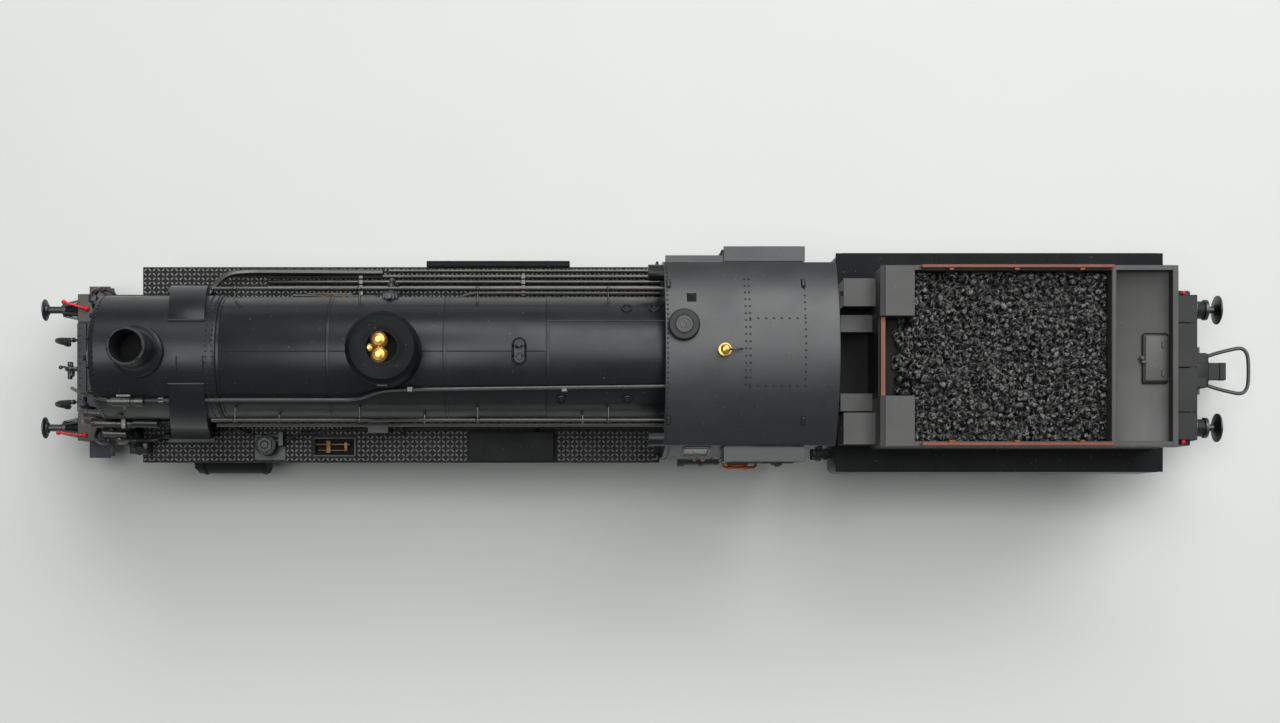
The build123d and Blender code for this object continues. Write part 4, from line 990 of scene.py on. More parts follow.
# %% Toolbox, battery box and the opening's frame
toolbox = plate((-30.6, -16.05, board_top - 0.1), (-16.8, -11.4, board_top + 2.2), 0.08)
lid = plate((-30.75, -16.15, board_top + 1.9), (-16.65, -11.3, board_top + 2.25), 0.06)
catches = [plate((x, -16.25, board_top + 1.1), (x + 0.7, -16.0, board_top + 2.0), 0.05) for x in (-28.2, -20.0)]
fit([toolbox, lid, *catches], "toolbox", "locomotive", dark_paint_and_shade, "black_paint")
battery = plate((-37.8, 16.2, board_top - 1.6), (-14.0, 17.2, board_top + 0.6), 0.1)
straps = [plate((x, 16.15, board_top - 1.5), (x + 0.7, 17.2, board_top + 0.62), 0.05) for x in (-34.6, -17.9)]
fit([battery, *straps], "battery_box", "locomotive", dark_paint_and_shade, "black_paint")
frame_bars = [
    plate((-56.7, -15.3, board_top), (-49.6, -15.0, board_top + 0.25), 0.05),
    plate((-56.7, -12.35, board_top), (-49.6, -12.1, board_top + 0.25), 0.05),
    plate((-49.9, -15.3, board_top), (-49.5, -12.1, board_top + 0.3), 0.08),
]
fit(frame_bars, "opening_frame", "locomotive", black_paint, "black_paint")
inside = [
    rod((-56.4, -13.2, 19.6), (-50.6, -13.2, 19.6), 0.32),
    rod((-56.0, -14.2, 19.3), (-51.2, -14.2, 19.3), 0.28),
    plate((-54.6, -14.7, 19.0), (-53.8, -12.6, 20.1), 0.06),
    plate((-51.6, -14.4, 19.2), (-51.0, -12.9, 20.2), 0.06),
]
fit(inside, "reversing_link", "locomotive", aged_brass, "brass")
# the floor seen through the opening is a dark sheet of painted shade
well = plate((-56.5, -15.2, 18.9), (-49.8, -12.2, 19.1), 0.04)
fit(well, "opening_floor", "locomotive", soot_and_shade, "frame_black")

# %% [markdown]
# ## Front end
# The buffer beam carries the buffers, the screw coupling, the brake hoses and two red handles. Its middle
# is a riveted plate. The front buffers are of the basket kind: ribs run from a flange on the beam to
# a ring around the stem. One function makes a basket, and it is called once for each side.

# %% Beam, deck and basket sockets


def ahead(x, y, z):
    """A place x mm ahead of the beam's face and z mm above the buffers' middle."""
    return beam_front - x, y, buffer_z + z


back = beam_front + 1.2
beam = plate((beam_front, -12.3, 10.4), (back, 12.3, deck_z), 0.1)
deck = plate((back - 0.05, -12.3, deck_z - 0.7), (-85.0, 12.3, deck_z), 0.08)
front_plate = plate((beam_front - 0.15, -7.5, 10.6), (back + 0.3, 7.5, deck_z + 0.22), 0.1)
corner_plates = [
    plate((beam_front - 0.05, s * 7.7, deck_z - 0.1), (back + 3.4, s * 12.4, deck_z + 0.12), 0.06)
    for s in (1, -1)
]
beam_rivets = [((beam_front + 0.35, y, deck_z + 0.22), (0, 0, 1)) for y in (k * 1.2 - 6.6 for k in range(12))]
beam_rivets += [
    ((beam_front - 0.15, y, z), (-1, 0, 0))
    for y in (k * 1.2 - 6.6 for k in range(12)) for z in (11.1, deck_z - 0.4)
]
beam_rivets += [
    ((beam_front, s * y, z), (-1, 0, 0))
    for s in (1, -1) for y in (8.1, 12.0) for z in (10.9, 12.2, 13.6, 15.2)
]
steps = []
for side in (1, -1):
    steps.append(plate((back, side * 11.1, 6.9), (back + 0.6, side * 12.3, deck_z - 0.6), 0.08))


def taper_sockets(x, y, z):
    """Narrows the buffer sockets towards their open ends, so that the ribs stand clear of them."""
    beyond = beam_front - 0.05 - x
    side = math.copysign(buffer_y, y)
    reach = math.hypot(y - side, z - buffer_z)
    if beyond > 0.1 and 0.9 < reach < 1.5:
        return x, side + (y - side) * 0.76, buffer_z + (z - buffer_z) * 0.76
    return x, y, z


soften(
    "front_beam", "locomotive", black_paint, "black_paint", 0.08,
    extra=[beam, deck, front_plate, rivets(beam_rivets, 0.16), *steps], reshape=taper_sockets,
)
fit(corner_plates, "beam_corner_plates", "locomotive", brown_deck, "black_paint")
# the right step gets the lit brown, painted light, and the left the dark blue, painted shade
for side, name, finish in ((1, "right", lit_step_paint), (-1, "left", shaded_step_paint)):
    tread_step = plate((back - 1.65, side * 11.2, 6.88), (back + 1.95, side * 14.9, 7.52), 0.08)
    fit(tread_step, f"front_step_{name}", "locomotive", finish, "black_paint")


def basket(side):
    """A flange with four bolts, six ribs and the ring at their end."""
    y = side * buffer_y
    pieces = [plate(ahead(0.35, y - 1.75, -1.75), (beam_front, y + 1.75, buffer_z + 1.75), 0.2, 2)]
    for dy, dz in around(6, 1):
        pieces.append(
            pipe(
                [
                    ahead(0.2, y + 1.75 * dy, 1.75 * dz), ahead(0.9, y + 1.5 * dy, 1.5 * dz),
                    ahead(3.3, y + 0.98 * dy, 0.98 * dz),
                ],
                0.2, bend=0.7, resolution=1,
            ),
        )
    for dy, dz in ((1, 1), (1, -1), (-1, 1), (-1, -1)):
        pieces.append(hexagon(ahead(0.3, y + 1.3 * dy, 1.3 * dz), ahead(0.6, y + 1.3 * dy, 1.3 * dz), 0.28))
    pieces.append(
        turned(
            (beam_front, y, buffer_z),
            [(0.66, 2.5), (0.86, 2.5), (1.14, 2.7), (1.14, 3.2), (0.98, 3.32), (0.66, 3.32), (0.66, 2.5)], "-X", 24,
        ),
    )
    return pieces


fit(basket(1) + basket(-1), "basket_sockets", "locomotive", dark_steel, "black_paint")

# %% Buffer heads


def buffer_head(face_x, beam_x, y, radius):
    """A turned head, slightly domed, on its stem."""
    reach = abs(beam_x - face_x) - 1.6
    section = [
        (0, 0), (0.6, 0), (0.6, reach - 0.9), (0.95, reach - 0.82), (radius * 0.62, reach - 0.5),
        (radius * 0.94, reach - 0.42), (radius, reach - 0.34), (radius, reach - 0.12), (radius * 0.93, reach - 0.02),
        (radius * 0.5, reach), (0, reach),
    ]
    start = beam_x + (1.6 if face_x > beam_x else -1.6)
    return turned((start, y, buffer_z), section, "X" if face_x > beam_x else "-X", 40)


for side, hand in ((1, "right"), (-1, "left")):
    y = side * buffer_y
    fit(
        buffer_head(beam_front - 6.6, beam_front, y, 1.82), f"front_buffer_head_{hand}", f"front_buffer_{hand}",
        dark_steel, "black_paint", f"front_buffer_{hand}",
    )
    fit(
        buffer_head(tender_rear + 4.6, tender_rear, y, 2.45), f"rear_buffer_head_{hand}", f"rear_buffer_{hand}",
        dark_steel, "black_paint", f"rear_buffer_{hand}",
    )

collars = [
    turned((94.0, side * buffer_y, buffer_z), [(1.52, 0), (1.75, 0.1), (1.75, 0.62), (1.52, 0.7), (1.52, 0)], "X", 32)
    for side in (1, -1)
]
collars += [
    turned(
        (92.1, side * buffer_y, buffer_z), [(1.52, 0), (2.3, 0), (2.3, 0.3), (1.9, 0.55), (1.52, 0.6), (1.52, 0)],
        "X", 32,
    )
    for side in (1, -1)
]
fit(collars, "rear_buffer_collars", "tender", dark_steel, "black_paint")

# %% Coupling hook, screw and hoses
hook = pipe(
    [(back, 0, buffer_z), ahead(1.4, 0, 0), ahead(2.3, 0, 0.5), ahead(2.9, 0, -0.3), ahead(2.4, 0, -0.9)], 0.42,
)
shackle = pipe([ahead(1.9, -0.9, -0.1), ahead(2.6, -0.85, -1.6), ahead(2.9, -0.6, -2.7)], 0.22)
shackle_2 = pipe([ahead(1.9, 0.9, -0.1), ahead(2.6, 0.85, -1.6), ahead(2.9, 0.6, -2.7)], 0.22)
cross_pin = rod(ahead(1.9, -1.15, -0.1), ahead(1.9, 1.15, -0.1), 0.25)
screw = rod(ahead(3.0, -1.5, -2.8), ahead(3.0, 1.5, -2.8), 0.42)
tommy = pipe([ahead(3.0, 0.2, -2.6), ahead(3.4, 0.5, -0.9), ahead(3.8, 0.3, -0.4)], 0.16)
weight = ball(ahead(3.85, 0.3, -0.3), 0.36)
lower_link = pipe(
    [ahead(3.0, -0.8, -2.9), ahead(3.0, -0.75, -5.0), ahead(3.0, 0.75, -5.0), ahead(3.0, 0.8, -2.9)], 0.22, bend=0.5,
)
fit(
    [hook, shackle, shackle_2, cross_pin, screw, tommy, weight, lower_link], "screw_coupling", "locomotive",
    dark_steel, "black_paint", "front_coupling",
)

hoses, taps = [], []
for y, lean_out in ((4.7, 0.1), (-5.8, -0.1)):
    drop = 5.4
    hoses.append(
        pipe(
            [
                ahead(1.5, y, 1.9), ahead(3.6, y + lean_out, 1.5), ahead(4.8, y + 2 * lean_out, -0.9),
                ahead(4.2, y + 2 * lean_out, -drop),
            ],
            0.42, bend=1.2,
        ),
    )
    taps.append(rod((back + 0.4, y, buffer_z + 1.9), ahead(1.6, y, 1.9), 0.24))
    taps.append(rod(ahead(1.0, y, 1.9), ahead(1.0, y, 3.0), 0.2))
    taps.append(ball(ahead(1.0, y, 2.1), 0.45))
    taps.append(rod(ahead(4.3, y + 2 * lean_out, -drop + 0.5), ahead(4.1, y + 2 * lean_out, -drop - 0.5), 0.52))
hoses.append(
    pipe(
        [(-87.9, 9.9, 25.0), (-88.6, 11.6, 26.2), (-90.8, 11.9, 26.0), (-92.6, 10.8, 23.0), (-93.4, 9.6, 17.6)], 0.3,
        bend=1.4,
    ),
)
fit(hoses, "brake_hoses", "locomotive", rubber, "black_paint")
fit(taps, "brake_taps", "locomotive", dark_steel, "black_paint")

# %% Red handles
handles = []
for tip, root in (((-99.2, 10.9, 16.9), (-95.6, 9.9, 16.3)), ((-100.1, -11.1, 16.9), (-95.9, -11.5, 16.3))):
    handles += [rod(root, tip, 0.26, 0.22, sides=10), ball(tip, 0.42), ball(root, 0.48)]
    handles.append(rod((root[0], root[1], deck_z), root, 0.22, sides=8))
for y in (12.6, -12.6):
    handles += [ball((89.8, y, 15.7), 0.4)]
red_front = join(handles[:-2])
fit(red_front, "red_handles", "locomotive", red_paint, "black_paint")
fit(handles[-2:], "red_studs", "tender", red_paint, "black_paint")

# %% [markdown]
# ## Pumps and front pipework
# The air pump stands on the front deck beside the smokebox, in a tangle of pipes with screwed joints. The
# lubricator on the left board is a small barrel with a hexagon cap. Pump cylinders are turned with
# ribs, and the pipes are bent around them, each ending in a nut.

# %% Air pump and lubricator
px, py = -88.0, -11.6
ribs = [(0, 0), (2.05, 0), (2.05, 0.5)]
for k in range(5):
    z = 0.7 + k * 0.75
    ribs += [(1.72, z), (2.0, z + 0.12), (2.0, z + 0.36), (1.72, z + 0.5)]
ribs += [
    (1.72, 4.6), (2.05, 4.7), (2.05, 5.1), (1.0, 5.3), (0.95, 6.6), (1.85, 6.8), (1.85, 11.0), (1.95, 11.2),
    (1.95, 11.6), (1.2, 11.95), (0, 12.0),
]
pump = turned((px, py, deck_z), ribs, steps=32)
pump_parts = [pump]
for x, y in around(6, 1.6):
    pump_parts.append(hexagon((px + x, py + y, deck_z + 11.5), (px + x, py + y, deck_z + 12.1), 0.25))
pump_parts += [
    rod((px, py, deck_z + 11.9), (px, py, deck_z + 12.9), 0.55, sides=12),
    hexagon((px, py, deck_z + 12.7), (px, py, deck_z + 13.3), 0.5),
]
lx, ly = -64.1, -13.5
pump_parts.append(
    turned(
        (lx, ly, board_top),
        [(0, 0), (1.75, 0), (1.75, 0.35), (1.5, 0.5), (1.5, 2.7), (1.7, 2.85), (1.7, 3.3), (1.2, 3.4), (0, 3.45)],
        steps=32,
    ),
)
pump_parts += [
    hexagon((lx, ly, board_top + 3.3), (lx, ly, board_top + 4.0), 1.3),
    turned((lx, ly, board_top + 3.9), [(0, 0.35), (0.55, 0.3), (0.7, 0.1), (0.72, 0), (0, 0)], steps=20),
]
pump_parts.append(plate((lx - 2.3, ly - 2.4, board_top), (lx + 2.9, ly + 1.9, board_top + 0.3), 0.06))
pump_parts.append(plate((lx + 2.0, ly - 0.2, board_top), (lx + 2.9, ly + 2.2, board_top + 2.8), 0.1))
pump_parts.append(rod((lx + 1.2, ly + 0.8, board_top + 2.2), (lx + 2.3, ly + 0.8, board_top + 2.2), 0.5))
fit(pump_parts, "pumps_finished", "locomotive", black_paint, "black_paint", "pumps")

# %% Pipes and nuts around the air pump


def union(place, along, size=0.5):
    """A screwed joint: a hexagon nut on a pipe, at place, pointing along."""
    place, along = Vector(place), Vector(along).normalized()
    return hexagon(place - along * 0.45, place + along * 0.45, size)


cluster = [
    pipe(
        [(px, py + 1.5, 27.4), (px + 1.6, py + 3.0, 30.6), (px + 4.4, -8.6, 36.6), (-83.4, -7.6, 38.6)], 0.34,
        bend=2.0,
    ),
    pipe(
        [
            (px - 1.0, py + 1.6, 27.0), (-91.2, -8.8, 29.4), (-92.2, -6.4, 30.6), (-92.0, -4.9, 26.6),
            (-93.2, -4.6, 19.4), (-93.2, -4.6, 15.6),
        ],
        0.34, bend=1.8,
    ),
    pipe(
        [
            (px + 1.6, py - 1.0, 25.4), (-84.2, -12.9, 25.4), (-82.2, -12.4, 23.2), (-79.4, -11.6, 22.2),
            (-77.0, -11.4, 21.6),
        ],
        0.32, bend=1.6,
    ),
    pipe(
        [(px - 1.2, py - 1.1, 24.0), (-91.0, -13.4, 22.8), (-93.2, -12.2, 19.8), (-93.6, -10.2, 16.0)], 0.32,
        bend=1.6,
    ),
    pipe(
        [
            (px + 1.2, py + 1.4, 22.8), (-84.6, -9.9, 23.4), (-82.9, -9.9, 26.4), (-80.4, -10.3, 27.4),
            (-77.2, -10.5, 27.4),
        ],
        0.32, bend=1.5,
    ),
    pipe(
        [
            (-92.6, -8.2, 15.8), (-92.6, -8.2, 24.4), (-90.6, -9.4, 27.8), (-86.2, -10.0, 28.8), (-83.2, -10.1, 29.4),
            (-77.2, -10.2, 29.4),
        ],
        0.34, bend=1.8,
    ),
    pipe([(-85.6, -14.2, 16.0), (-85.6, -14.2, 22.6), (-84.0, -12.9, 24.4), (-81.5, -12.7, 24.6)], 0.28, bend=1.3),
]
nuts = [
    union((-84.9, -9.2, 34.9), (1, 0.6, 1.2)),
    union((-91.7, -7.6, 30.0), (-1, 2, 1)),
    union((-93.2, -4.6, 18.0), (0, 0, 1)),
    union((-85.2, -12.9, 25.4), (1, 0, 0)),
    union((-80.6, -11.9, 22.6), (1, 0.2, -0.3)),
    union((-92.6, -8.2, 22.0), (0, 0, 1)),
    union((-79.2, -10.5, 27.4), (1, 0, 0), 0.55),
    union((-80.2, -10.2, 29.4), (1, 0, 0), 0.55),
    union((-85.6, -14.2, 20.0), (0, 0, 1)),
]
upper = [
    rod((-91.4, -8.7, 30.6), (-86.6, -8.9, 30.9), 0.62),
    rod((-90.6, -10.3, 29.8), (-84.2, -10.4, 30.0), 0.72),
    rod((-89.2, -11.9, 29.2), (-85.4, -12.0, 29.3), 0.55),
    hexagon((-91.9, -8.7, 30.6), (-91.2, -8.7, 30.6), 0.75),
    hexagon((-84.6, -10.4, 30.0), (-83.9, -10.4, 30.0), 0.85),
    hexagon((-90.9, -10.3, 29.8), (-90.3, -10.3, 29.8), 0.82),
    pipe([(-93.4, -9.6, 17.0), (-93.6, -9.8, 25.0), (-92.4, -10.0, 28.8), (-90.6, -10.3, 29.8)], 0.42, bend=2.0),
    pipe([(-93.0, -7.2, 17.0), (-94.0, -7.4, 24.0), (-93.0, -8.2, 29.4), (-91.4, -8.7, 30.6)], 0.42, bend=2.2),
    plate((-88.6, -9.6, 29.4), (-87.8, -8.2, 31.6), 0.1), plate((-85.9, -11.3, 28.4), (-85.1, -9.6, 31.0), 0.1),
    rod((-86.6, -8.9, 30.9), (-83.6, -9.2, 30.4), 0.3, sides=10), ball((-86.8, -12.8, 28.4), 0.62),
]
block = plate((-86.4, -15.0, 21.2), (-83.4, -12.6, 24.0), 0.25, 2)
filter_cap = rod((-84.9, -13.8, 23.9), (-84.3, -14.6, 25.2), 0.8, sides=14)
drain = rod((-84.0, -10.3, 30.6), (-80.0, -10.4, 30.6), 0.75, sides=16)
fit(upper, "ejector_and_unions", "locomotive", pipe_metal, "black_paint")
fit([*cluster, *nuts, block, filter_cap, drain], "pump_pipes", "locomotive", pipe_paint, "black_paint")

# %% Right-hand front pipe
loop = pipe(
    [
        (-93.6, 9.2, deck_z), (-93.6, 9.6, 19.0), (-92.9, 11.4, 23.0), (-91.2, 12.1, 25.4), (-89.4, 11.0, 27.4),
        (-88.6, 9.0, 28.0),
    ],
    0.34, bend=2.2,
)
lamp_bracket = plate((-93.0, 9.9, 21.6), (-91.6, 11.2, 24.6), 0.2, 2)
loop_nuts = [union((-93.5, 9.5, 18.2), (0, 0.1, 1)), union((-89.9, 11.4, 27.0), (1, -0.6, 0.6))]
fit([loop, lamp_bracket, *loop_nuts], "front_loop_pipe", "locomotive", pipe_paint, "black_paint")

# %% [markdown]
# ## Handrails and long pipes
# A handrail runs along each side of the boiler on turned posts. Below it on the right, five thin pipes
# run back to the cab over brackets, and a thick steam pipe bends out from the smokebox. On the left the
# ejector's rod runs along the boiler and steps sideways at the dome.

# %% Handrails
rail_pieces = []
rail_y, rail_z, post_y = 10.3, 36.9, 8.2
for side in (1, -1):
    rail_pieces.append(pipe([(-70.0, side * rail_y, rail_z), (0.9, side * rail_y, rail_z)], 0.26))
    for x in (-66.5, -47.0, -28.5, -8.0):
        rail_pieces.append(rod((x, side * post_y, 36.6), (x, side * rail_y, rail_z), 0.17, sides=10))
        rail_pieces.append(ball((x, side * rail_y, rail_z), 0.42))
    rail_pieces.append(ball((-70.0, side * rail_y, rail_z), 0.34))
rod_y, rod_z = -10.9, 34.4
rail_pieces.append(pipe([(-69.8, rod_y, rod_z), (-4.0, rod_y, rod_z), (0.9, rod_y, rod_z)], 0.3))
for x in (-60.0, -37.0, -12.0):
    rail_pieces.append(rod((x, -9.2, 34.2), (x, rod_y, rod_z), 0.2, sides=10))
fit(rail_pieces, "handrails_finished", "locomotive", pipe_metal, "black_paint", "handrails")

# %% Board pipes, steam pipe and ejector
z = board_top + 0.9
runs = [pipe([(-64.0, y, z), (0.9, y, z)], 0.31) for y in (14.5, 13.6, 12.7)]
runs.append(pipe([(-44.0, 15.45, z - 0.1), (0.9, 15.45, z - 0.1)], 0.26))
runs.append(pipe([(-33.0, 10.4, z + 1.6), (-30.4, 11.7, z + 0.4), (0.9, 11.7, z + 0.1)], 0.3, bend=1.2))
runs.append(
    pipe(
        [(-73.9, 9.0, 27.6), (-72.4, 11.4, 27.0), (-70.6, 14.4, 24.2), (-67.5, 15.1, 22.4), (-45.0, 15.1, 21.6)],
        0.52, bend=2.4,
    ),
)
for x in (-48.6, -21.7):
    runs.append(plate((x - 0.35, 11.3, board_top - 0.02), (x + 0.35, 15.9, board_top + 0.5), 0.08))
    for y in (14.5, 13.6, 12.7, 11.7):
        runs.append(plate((x - 0.4, y - 0.42, board_top + 0.3), (x + 0.4, y + 0.42, board_top + 1.34), 0.1))
ejector_z = boiler_surface(7.15) + 0.55
runs.append(
    pipe(
        [
            (-93.0, -5.0, 33.5), (-90.2, -6.2, 38.2), (-86.6, -7.3, ejector_z), (-79.0, -7.3, ejector_z),
            (-47.2, -7.3, ejector_z), (-43.4, -6.0, 40.0), (-40.0, -5.8, 40.1), (0.9, -5.3, 40.4),
        ],
        0.27, bend=1.6,
    ),
)
runs.append(
    turned(
        (-85.9, -7.5, ejector_z),
        [
            (0, 0), (0.5, 0), (0.5, 0.6), (0.78, 0.7), (0.78, 3.6), (0.6, 3.7), (0.6, 4.2), (0.8, 4.3), (0.8, 5.6),
            (0.4, 5.8), (0, 5.8),
        ],
        "X", 24,
    ),
)
runs.append(plate((-84.6, -6.9, ejector_z - 1.0), (-82.2, -6.1, ejector_z + 0.35), 0.12))
for x in (-77.6, -38.8, -14.9):
    y = -7.3 if x < -45 else -5.75
    runs.append(
        plate((x - 0.5, y - 0.45, boiler_surface(y) - 0.3), (x + 0.5, y + 0.45, boiler_surface(y) + 0.9), 0.12),
    )
fit(runs, "pipework_finished", "locomotive", pipe_metal, "black_paint", "pipework")

# %% Small fittings on the boards
check_x = -42.45
fittings = [
    plate((-47.0, -11.4, board_top), (-44.0, -9.9, board_top + 3.4), 0.08),
    plate((-47.2, -11.6, board_top + 3.3), (-43.8, -9.7, board_top + 3.7), 0.06),
    rod((-41.6, -11.6, board_top), (-41.6, -10.6, board_top + 7.0), 0.26, sides=10),
    rod((-19.6, -11.2, board_top), (-19.6, -10.4, board_top + 7.0), 0.26, sides=10),
    plate((-57.6, 10.7, board_top), (-50.0, 11.9, board_top + 1.0), 0.12),
    rod((-60.0, 11.4, board_top + 0.8), (-46.0, 11.2, board_top + 0.8), 0.35),
    plate((-43.7, 8.4, 32.0), (-41.2, 10.2, 34.6), 0.12),
    rod((check_x, 9.3, 34.4), (check_x, 9.3, 35.5), 0.8, sides=18),
    hexagon((check_x, 9.3, 35.4), (check_x, 9.3, 36.0), 0.5),
    rod((check_x, 9.8, 33.4), (check_x, 11.6, 33.2), 0.5, sides=14),
    pipe([(check_x, 11.2, 33.2), (check_x, 12.4, 32.4), (check_x, 12.7, 26.0), (check_x, 12.7, 21.2)], 0.3, bend=1.0),
    rod((-36.2, 10.3, 22.4), (-31.0, 10.3, 22.4), 0.3, sides=10),
    pipe([(-73.0, -9.4, 24.0), (-70.0, -10.2, 23.0), (-66.4, -12.0, 22.6)], 0.26, bend=1.2),
    pipe([(-61.0, -12.6, 22.4), (-58.0, -11.4, 22.4), (-50.0, -10.8, 22.2), (-46.4, -10.8, 22.2)], 0.22, bend=1.5),
    pipe([(-42.6, -10.8, 22.2), (-28.0, -10.6, 21.8), (0.9, -10.6, 21.6)], 0.24, bend=1.5),
]
fit(fittings, "board_fittings", "locomotive", pipe_paint, "black_paint")
brass_bits = [
    rod((-54.6, 10.8, board_top + 1.0), (-54.6, 10.8, board_top + 2.0), 0.5, sides=12),
    rod((-56.0, 11.2, board_top + 1.3), (-53.2, 11.2, board_top + 1.3), 0.3, sides=10),
    hexagon((-51.4, 11.2, board_top + 1.0), (-51.4, 11.2, board_top + 1.7), 0.4),
]
fit(brass_bits, "brass_cocks", "locomotive", aged_brass, "brass")

# %% [markdown]
# ## Cab
# The cab is riveted plate with a curved roof. Its body and roof keep their shapes and are given slightly
# rounded edges. Rivets go along every sheet edge, as on the real thing, where they hold the plates to
# angle irons. Handrails, the hinges of the wind shields and the injectors' pipes are fixed to its sides.

# %% Cab body
roof_rise, roof_half, roof_eaves = 5.1, 14.3, 37.2
roof_radius = (roof_half ** 2 + roof_rise ** 2) / (2 * roof_rise)
roof_centre = roof_eaves + roof_rise - roof_radius
cab_half, cab_knee = 15.7, 29.4


def roof_at(y, lift=0.6):
    """Place and normal on top of the roof, y from the middle."""
    reach = roof_radius + lift
    height = math.sqrt(reach ** 2 - y ** 2)
    return (y, roof_centre + height), (0, y / reach, height / reach)


def side_at(z):
    """How far out the cab side is at height z."""
    if z < cab_knee:
        return cab_half
    return cab_half + (roof_half - cab_half) * (z - cab_knee) / (roof_eaves - cab_knee)


cab_rivets, grab = [], []
for side in (1, -1):
    y, normal = side * cab_half, (0, side, 0)
    for z in (20.5, 28.7):
        cab_rivets += rivet_line((1.6, y, z), (22.3, y, z), 1.2, normal)
    for x in (1.6, 9.2, 22.3):
        cab_rivets += rivet_line((x, y, 21.7), (x, y, 27.6), 1.2, normal)
    cab_rivets += [
        ((1.6, side * side_at(v.z), v.z), (0, side, 0.15))
        for v in line_of((0, 0, 30.6), (0, 0, 36.0), 1.2)
    ]
    for x in (0.1, 23.5):
        grab.append(
            pipe(
                [(x, side * 15.2, 21.4), (x, side * 15.75, 21.8), (x, side * 15.75, 28.6), (x, side * 15.2, 29.0)],
                0.22, bend=0.35,
            ),
        )
    # sills and lintels around the windows of the bay
    for z in (31.0, 36.3):
        grab.append(plate((10.9, side * 16.55, z - 0.22), (21.8, side * 16.85, z + 0.22), 0.06))
    # hinge of the folded glass wind shield
    grab.append(rod((9.9, side * 16.3, 31.0), (9.9, side * 16.3, 36.5), 0.22, sides=10))
soften("cab_body", "locomotive", black_paint, "black_paint", 0.12, extra=[rivets(cab_rivets, 0.14), *grab])

# %% Sheets over the bays, rain strips and side windows
sheets, frames = [], []
for side in (1, -1):
    sheets.append(plate((10.0, side * 14.5, 37.05), (22.7, side * 16.85, 37.35), 0.05))
    if side > 0:
        sheets.append(plate((0.9, 14.3, 36.75), (10.1, 15.5, 36.98), 0.04))
    for x in (3.9, 7.95):
        frames.append(
            rod((x, side * (side_at(31.0) + 0.1), 31.0), (x, side * (side_at(36.2) + 0.1), 36.2), 0.24, sides=8),
        )
    for z in (31.0, 36.2):
        frames.append(rod((3.9, side * (side_at(z) + 0.1), z), (7.95, side * (side_at(z) + 0.1), z), 0.24, sides=8))
fit(sheets, "bay_sheets", "locomotive", roof_paint, "black_paint")
fit(frames, "side_window_frames", "locomotive", pipe_metal, "black_paint")
panes = []
for side in (1, -1):
    pane = plate((4.0, side * (side_at(31.0) - 0.35), 31.0), (7.9, side * (side_at(31.0) + 0.02), 36.2), 0.01)
    for vertex in pane.data.vertices:
        x, y, z = vertex.co / mm
        vertex.co.y = (y + side * (side_at(z) - side_at(31.0) + 0.03)) * mm
    panes.append(pane)
# the panes are opaque pale grey, a painted reflection
fit(panes, "side_window_panes", "locomotive", painted_reflection_glass, "glazing")

# %% Roof
def on_roof(x, y, lift=0.64):
    (_, z), normal = roof_at(y, lift)
    return (x, y, z), normal


def roof_row(start, end, y, pitch):
    return [on_roof(v.x, y) for v in line_of((start, 0, 0), (end, 0, 0), pitch)]


def roof_column(x, low, high, pitch):
    return [on_roof(x, v.y) for v in line_of((0, low, 0), (0, high, 0), pitch)]


roof_rivets = roof_column(
    12.95, -5.2, 11.3, 1.07,
) + roof_column(13.6, -5.2, 11.3, 1.07) + roof_column(22.1, -5.4, 9.7, 1.07)
roof_rivets += roof_column(
    0.99, -13.2, 13.2, 0.75,
) + roof_row(13.6, 22.1, 4.96, 1.26) + roof_row(13.6, 22.1, -5.35, 1.26)
# the rivets take the darker frame paint, painted shade that makes them read as dark dots
fit(rivets(roof_rivets, 0.17), "roof_rivets", "locomotive", frame_paint, "black_paint")
edge_beads = []
for x in (0.75, 27.25):
    edge_beads.append(
        pipe(
            [(x, y * 14.1 / 14, roof_at(y * 14.1 / 14)[0][1] - 0.06) for y in range(-14, 15, 2)], 0.15, bend=0.9,
            resolution=1,
        ),
    )
lug_edge, lug_face = plate(
    (-0.36, -0.85, -0.2), (0.36, 0.85, 0.14), 0.12,
), plate((-0.18, -0.6, 0), (0.18, 0.6, 0.3), 0.06)
lug_spots = [upright(*on_roof(x, y, 0.62)) for x, y in ((22.0, 10.6), (22.0, -10.6), (1.2, 10.5), (1.2, -10.5))]
# the dark rims at the foot of the lugs are painted shade
fit(stamp(lug_edge, lug_spots), "roof_lug_edges", "locomotive", soot_and_shade, "black_paint")
fit(stamp(lug_face, lug_spots), "roof_lugs", "locomotive", roof_paint, "black_paint")
deselect()
bpy.ops.mesh.primitive_cone_add(
    vertices=4, radius1=1.15 * mm, radius2=0, depth=0.8 * mm, location=(0, 0, 0.35 * mm),
    rotation=(0, 0, math.pi / 4),
)
gusset = stamp(settle(bpy.context.active_object), [upright(*on_roof(4.7, 8.3, 0.62))])
fit(gusset, "roof_gusset", "locomotive", frame_paint, "black_paint")
deselect()
bpy.ops.mesh.primitive_grid_add(x_subdivisions=2, y_subdivisions=56, size=1)
roof_sheet = bpy.context.active_object
edit(roof_sheet)
bpy.ops.transform.resize(value=(26.5 * mm, 28.3 * mm, 1))
bpy.ops.transform.translate(value=(14.0 * mm, 0, 0))
bpy.ops.mesh.extrude_region_move(TRANSFORM_OT_translate={"value": (0, 0, 4 * mm)})
deselect()
for v in roof_sheet.data.vertices:
    v.co.z = roof_at(v.co.y / mm, 0.64 if v.co.z > 2 * mm else 0.4)[0][1] * mm
edit(roof_sheet)
bpy.ops.mesh.select_all(action="SELECT")
bpy.ops.mesh.normals_make_consistent(inside=False)
deselect()
soften("cab_roof", "locomotive", roof_paint, "black_paint", 0.08, extra=[*edge_beads, roof_sheet])

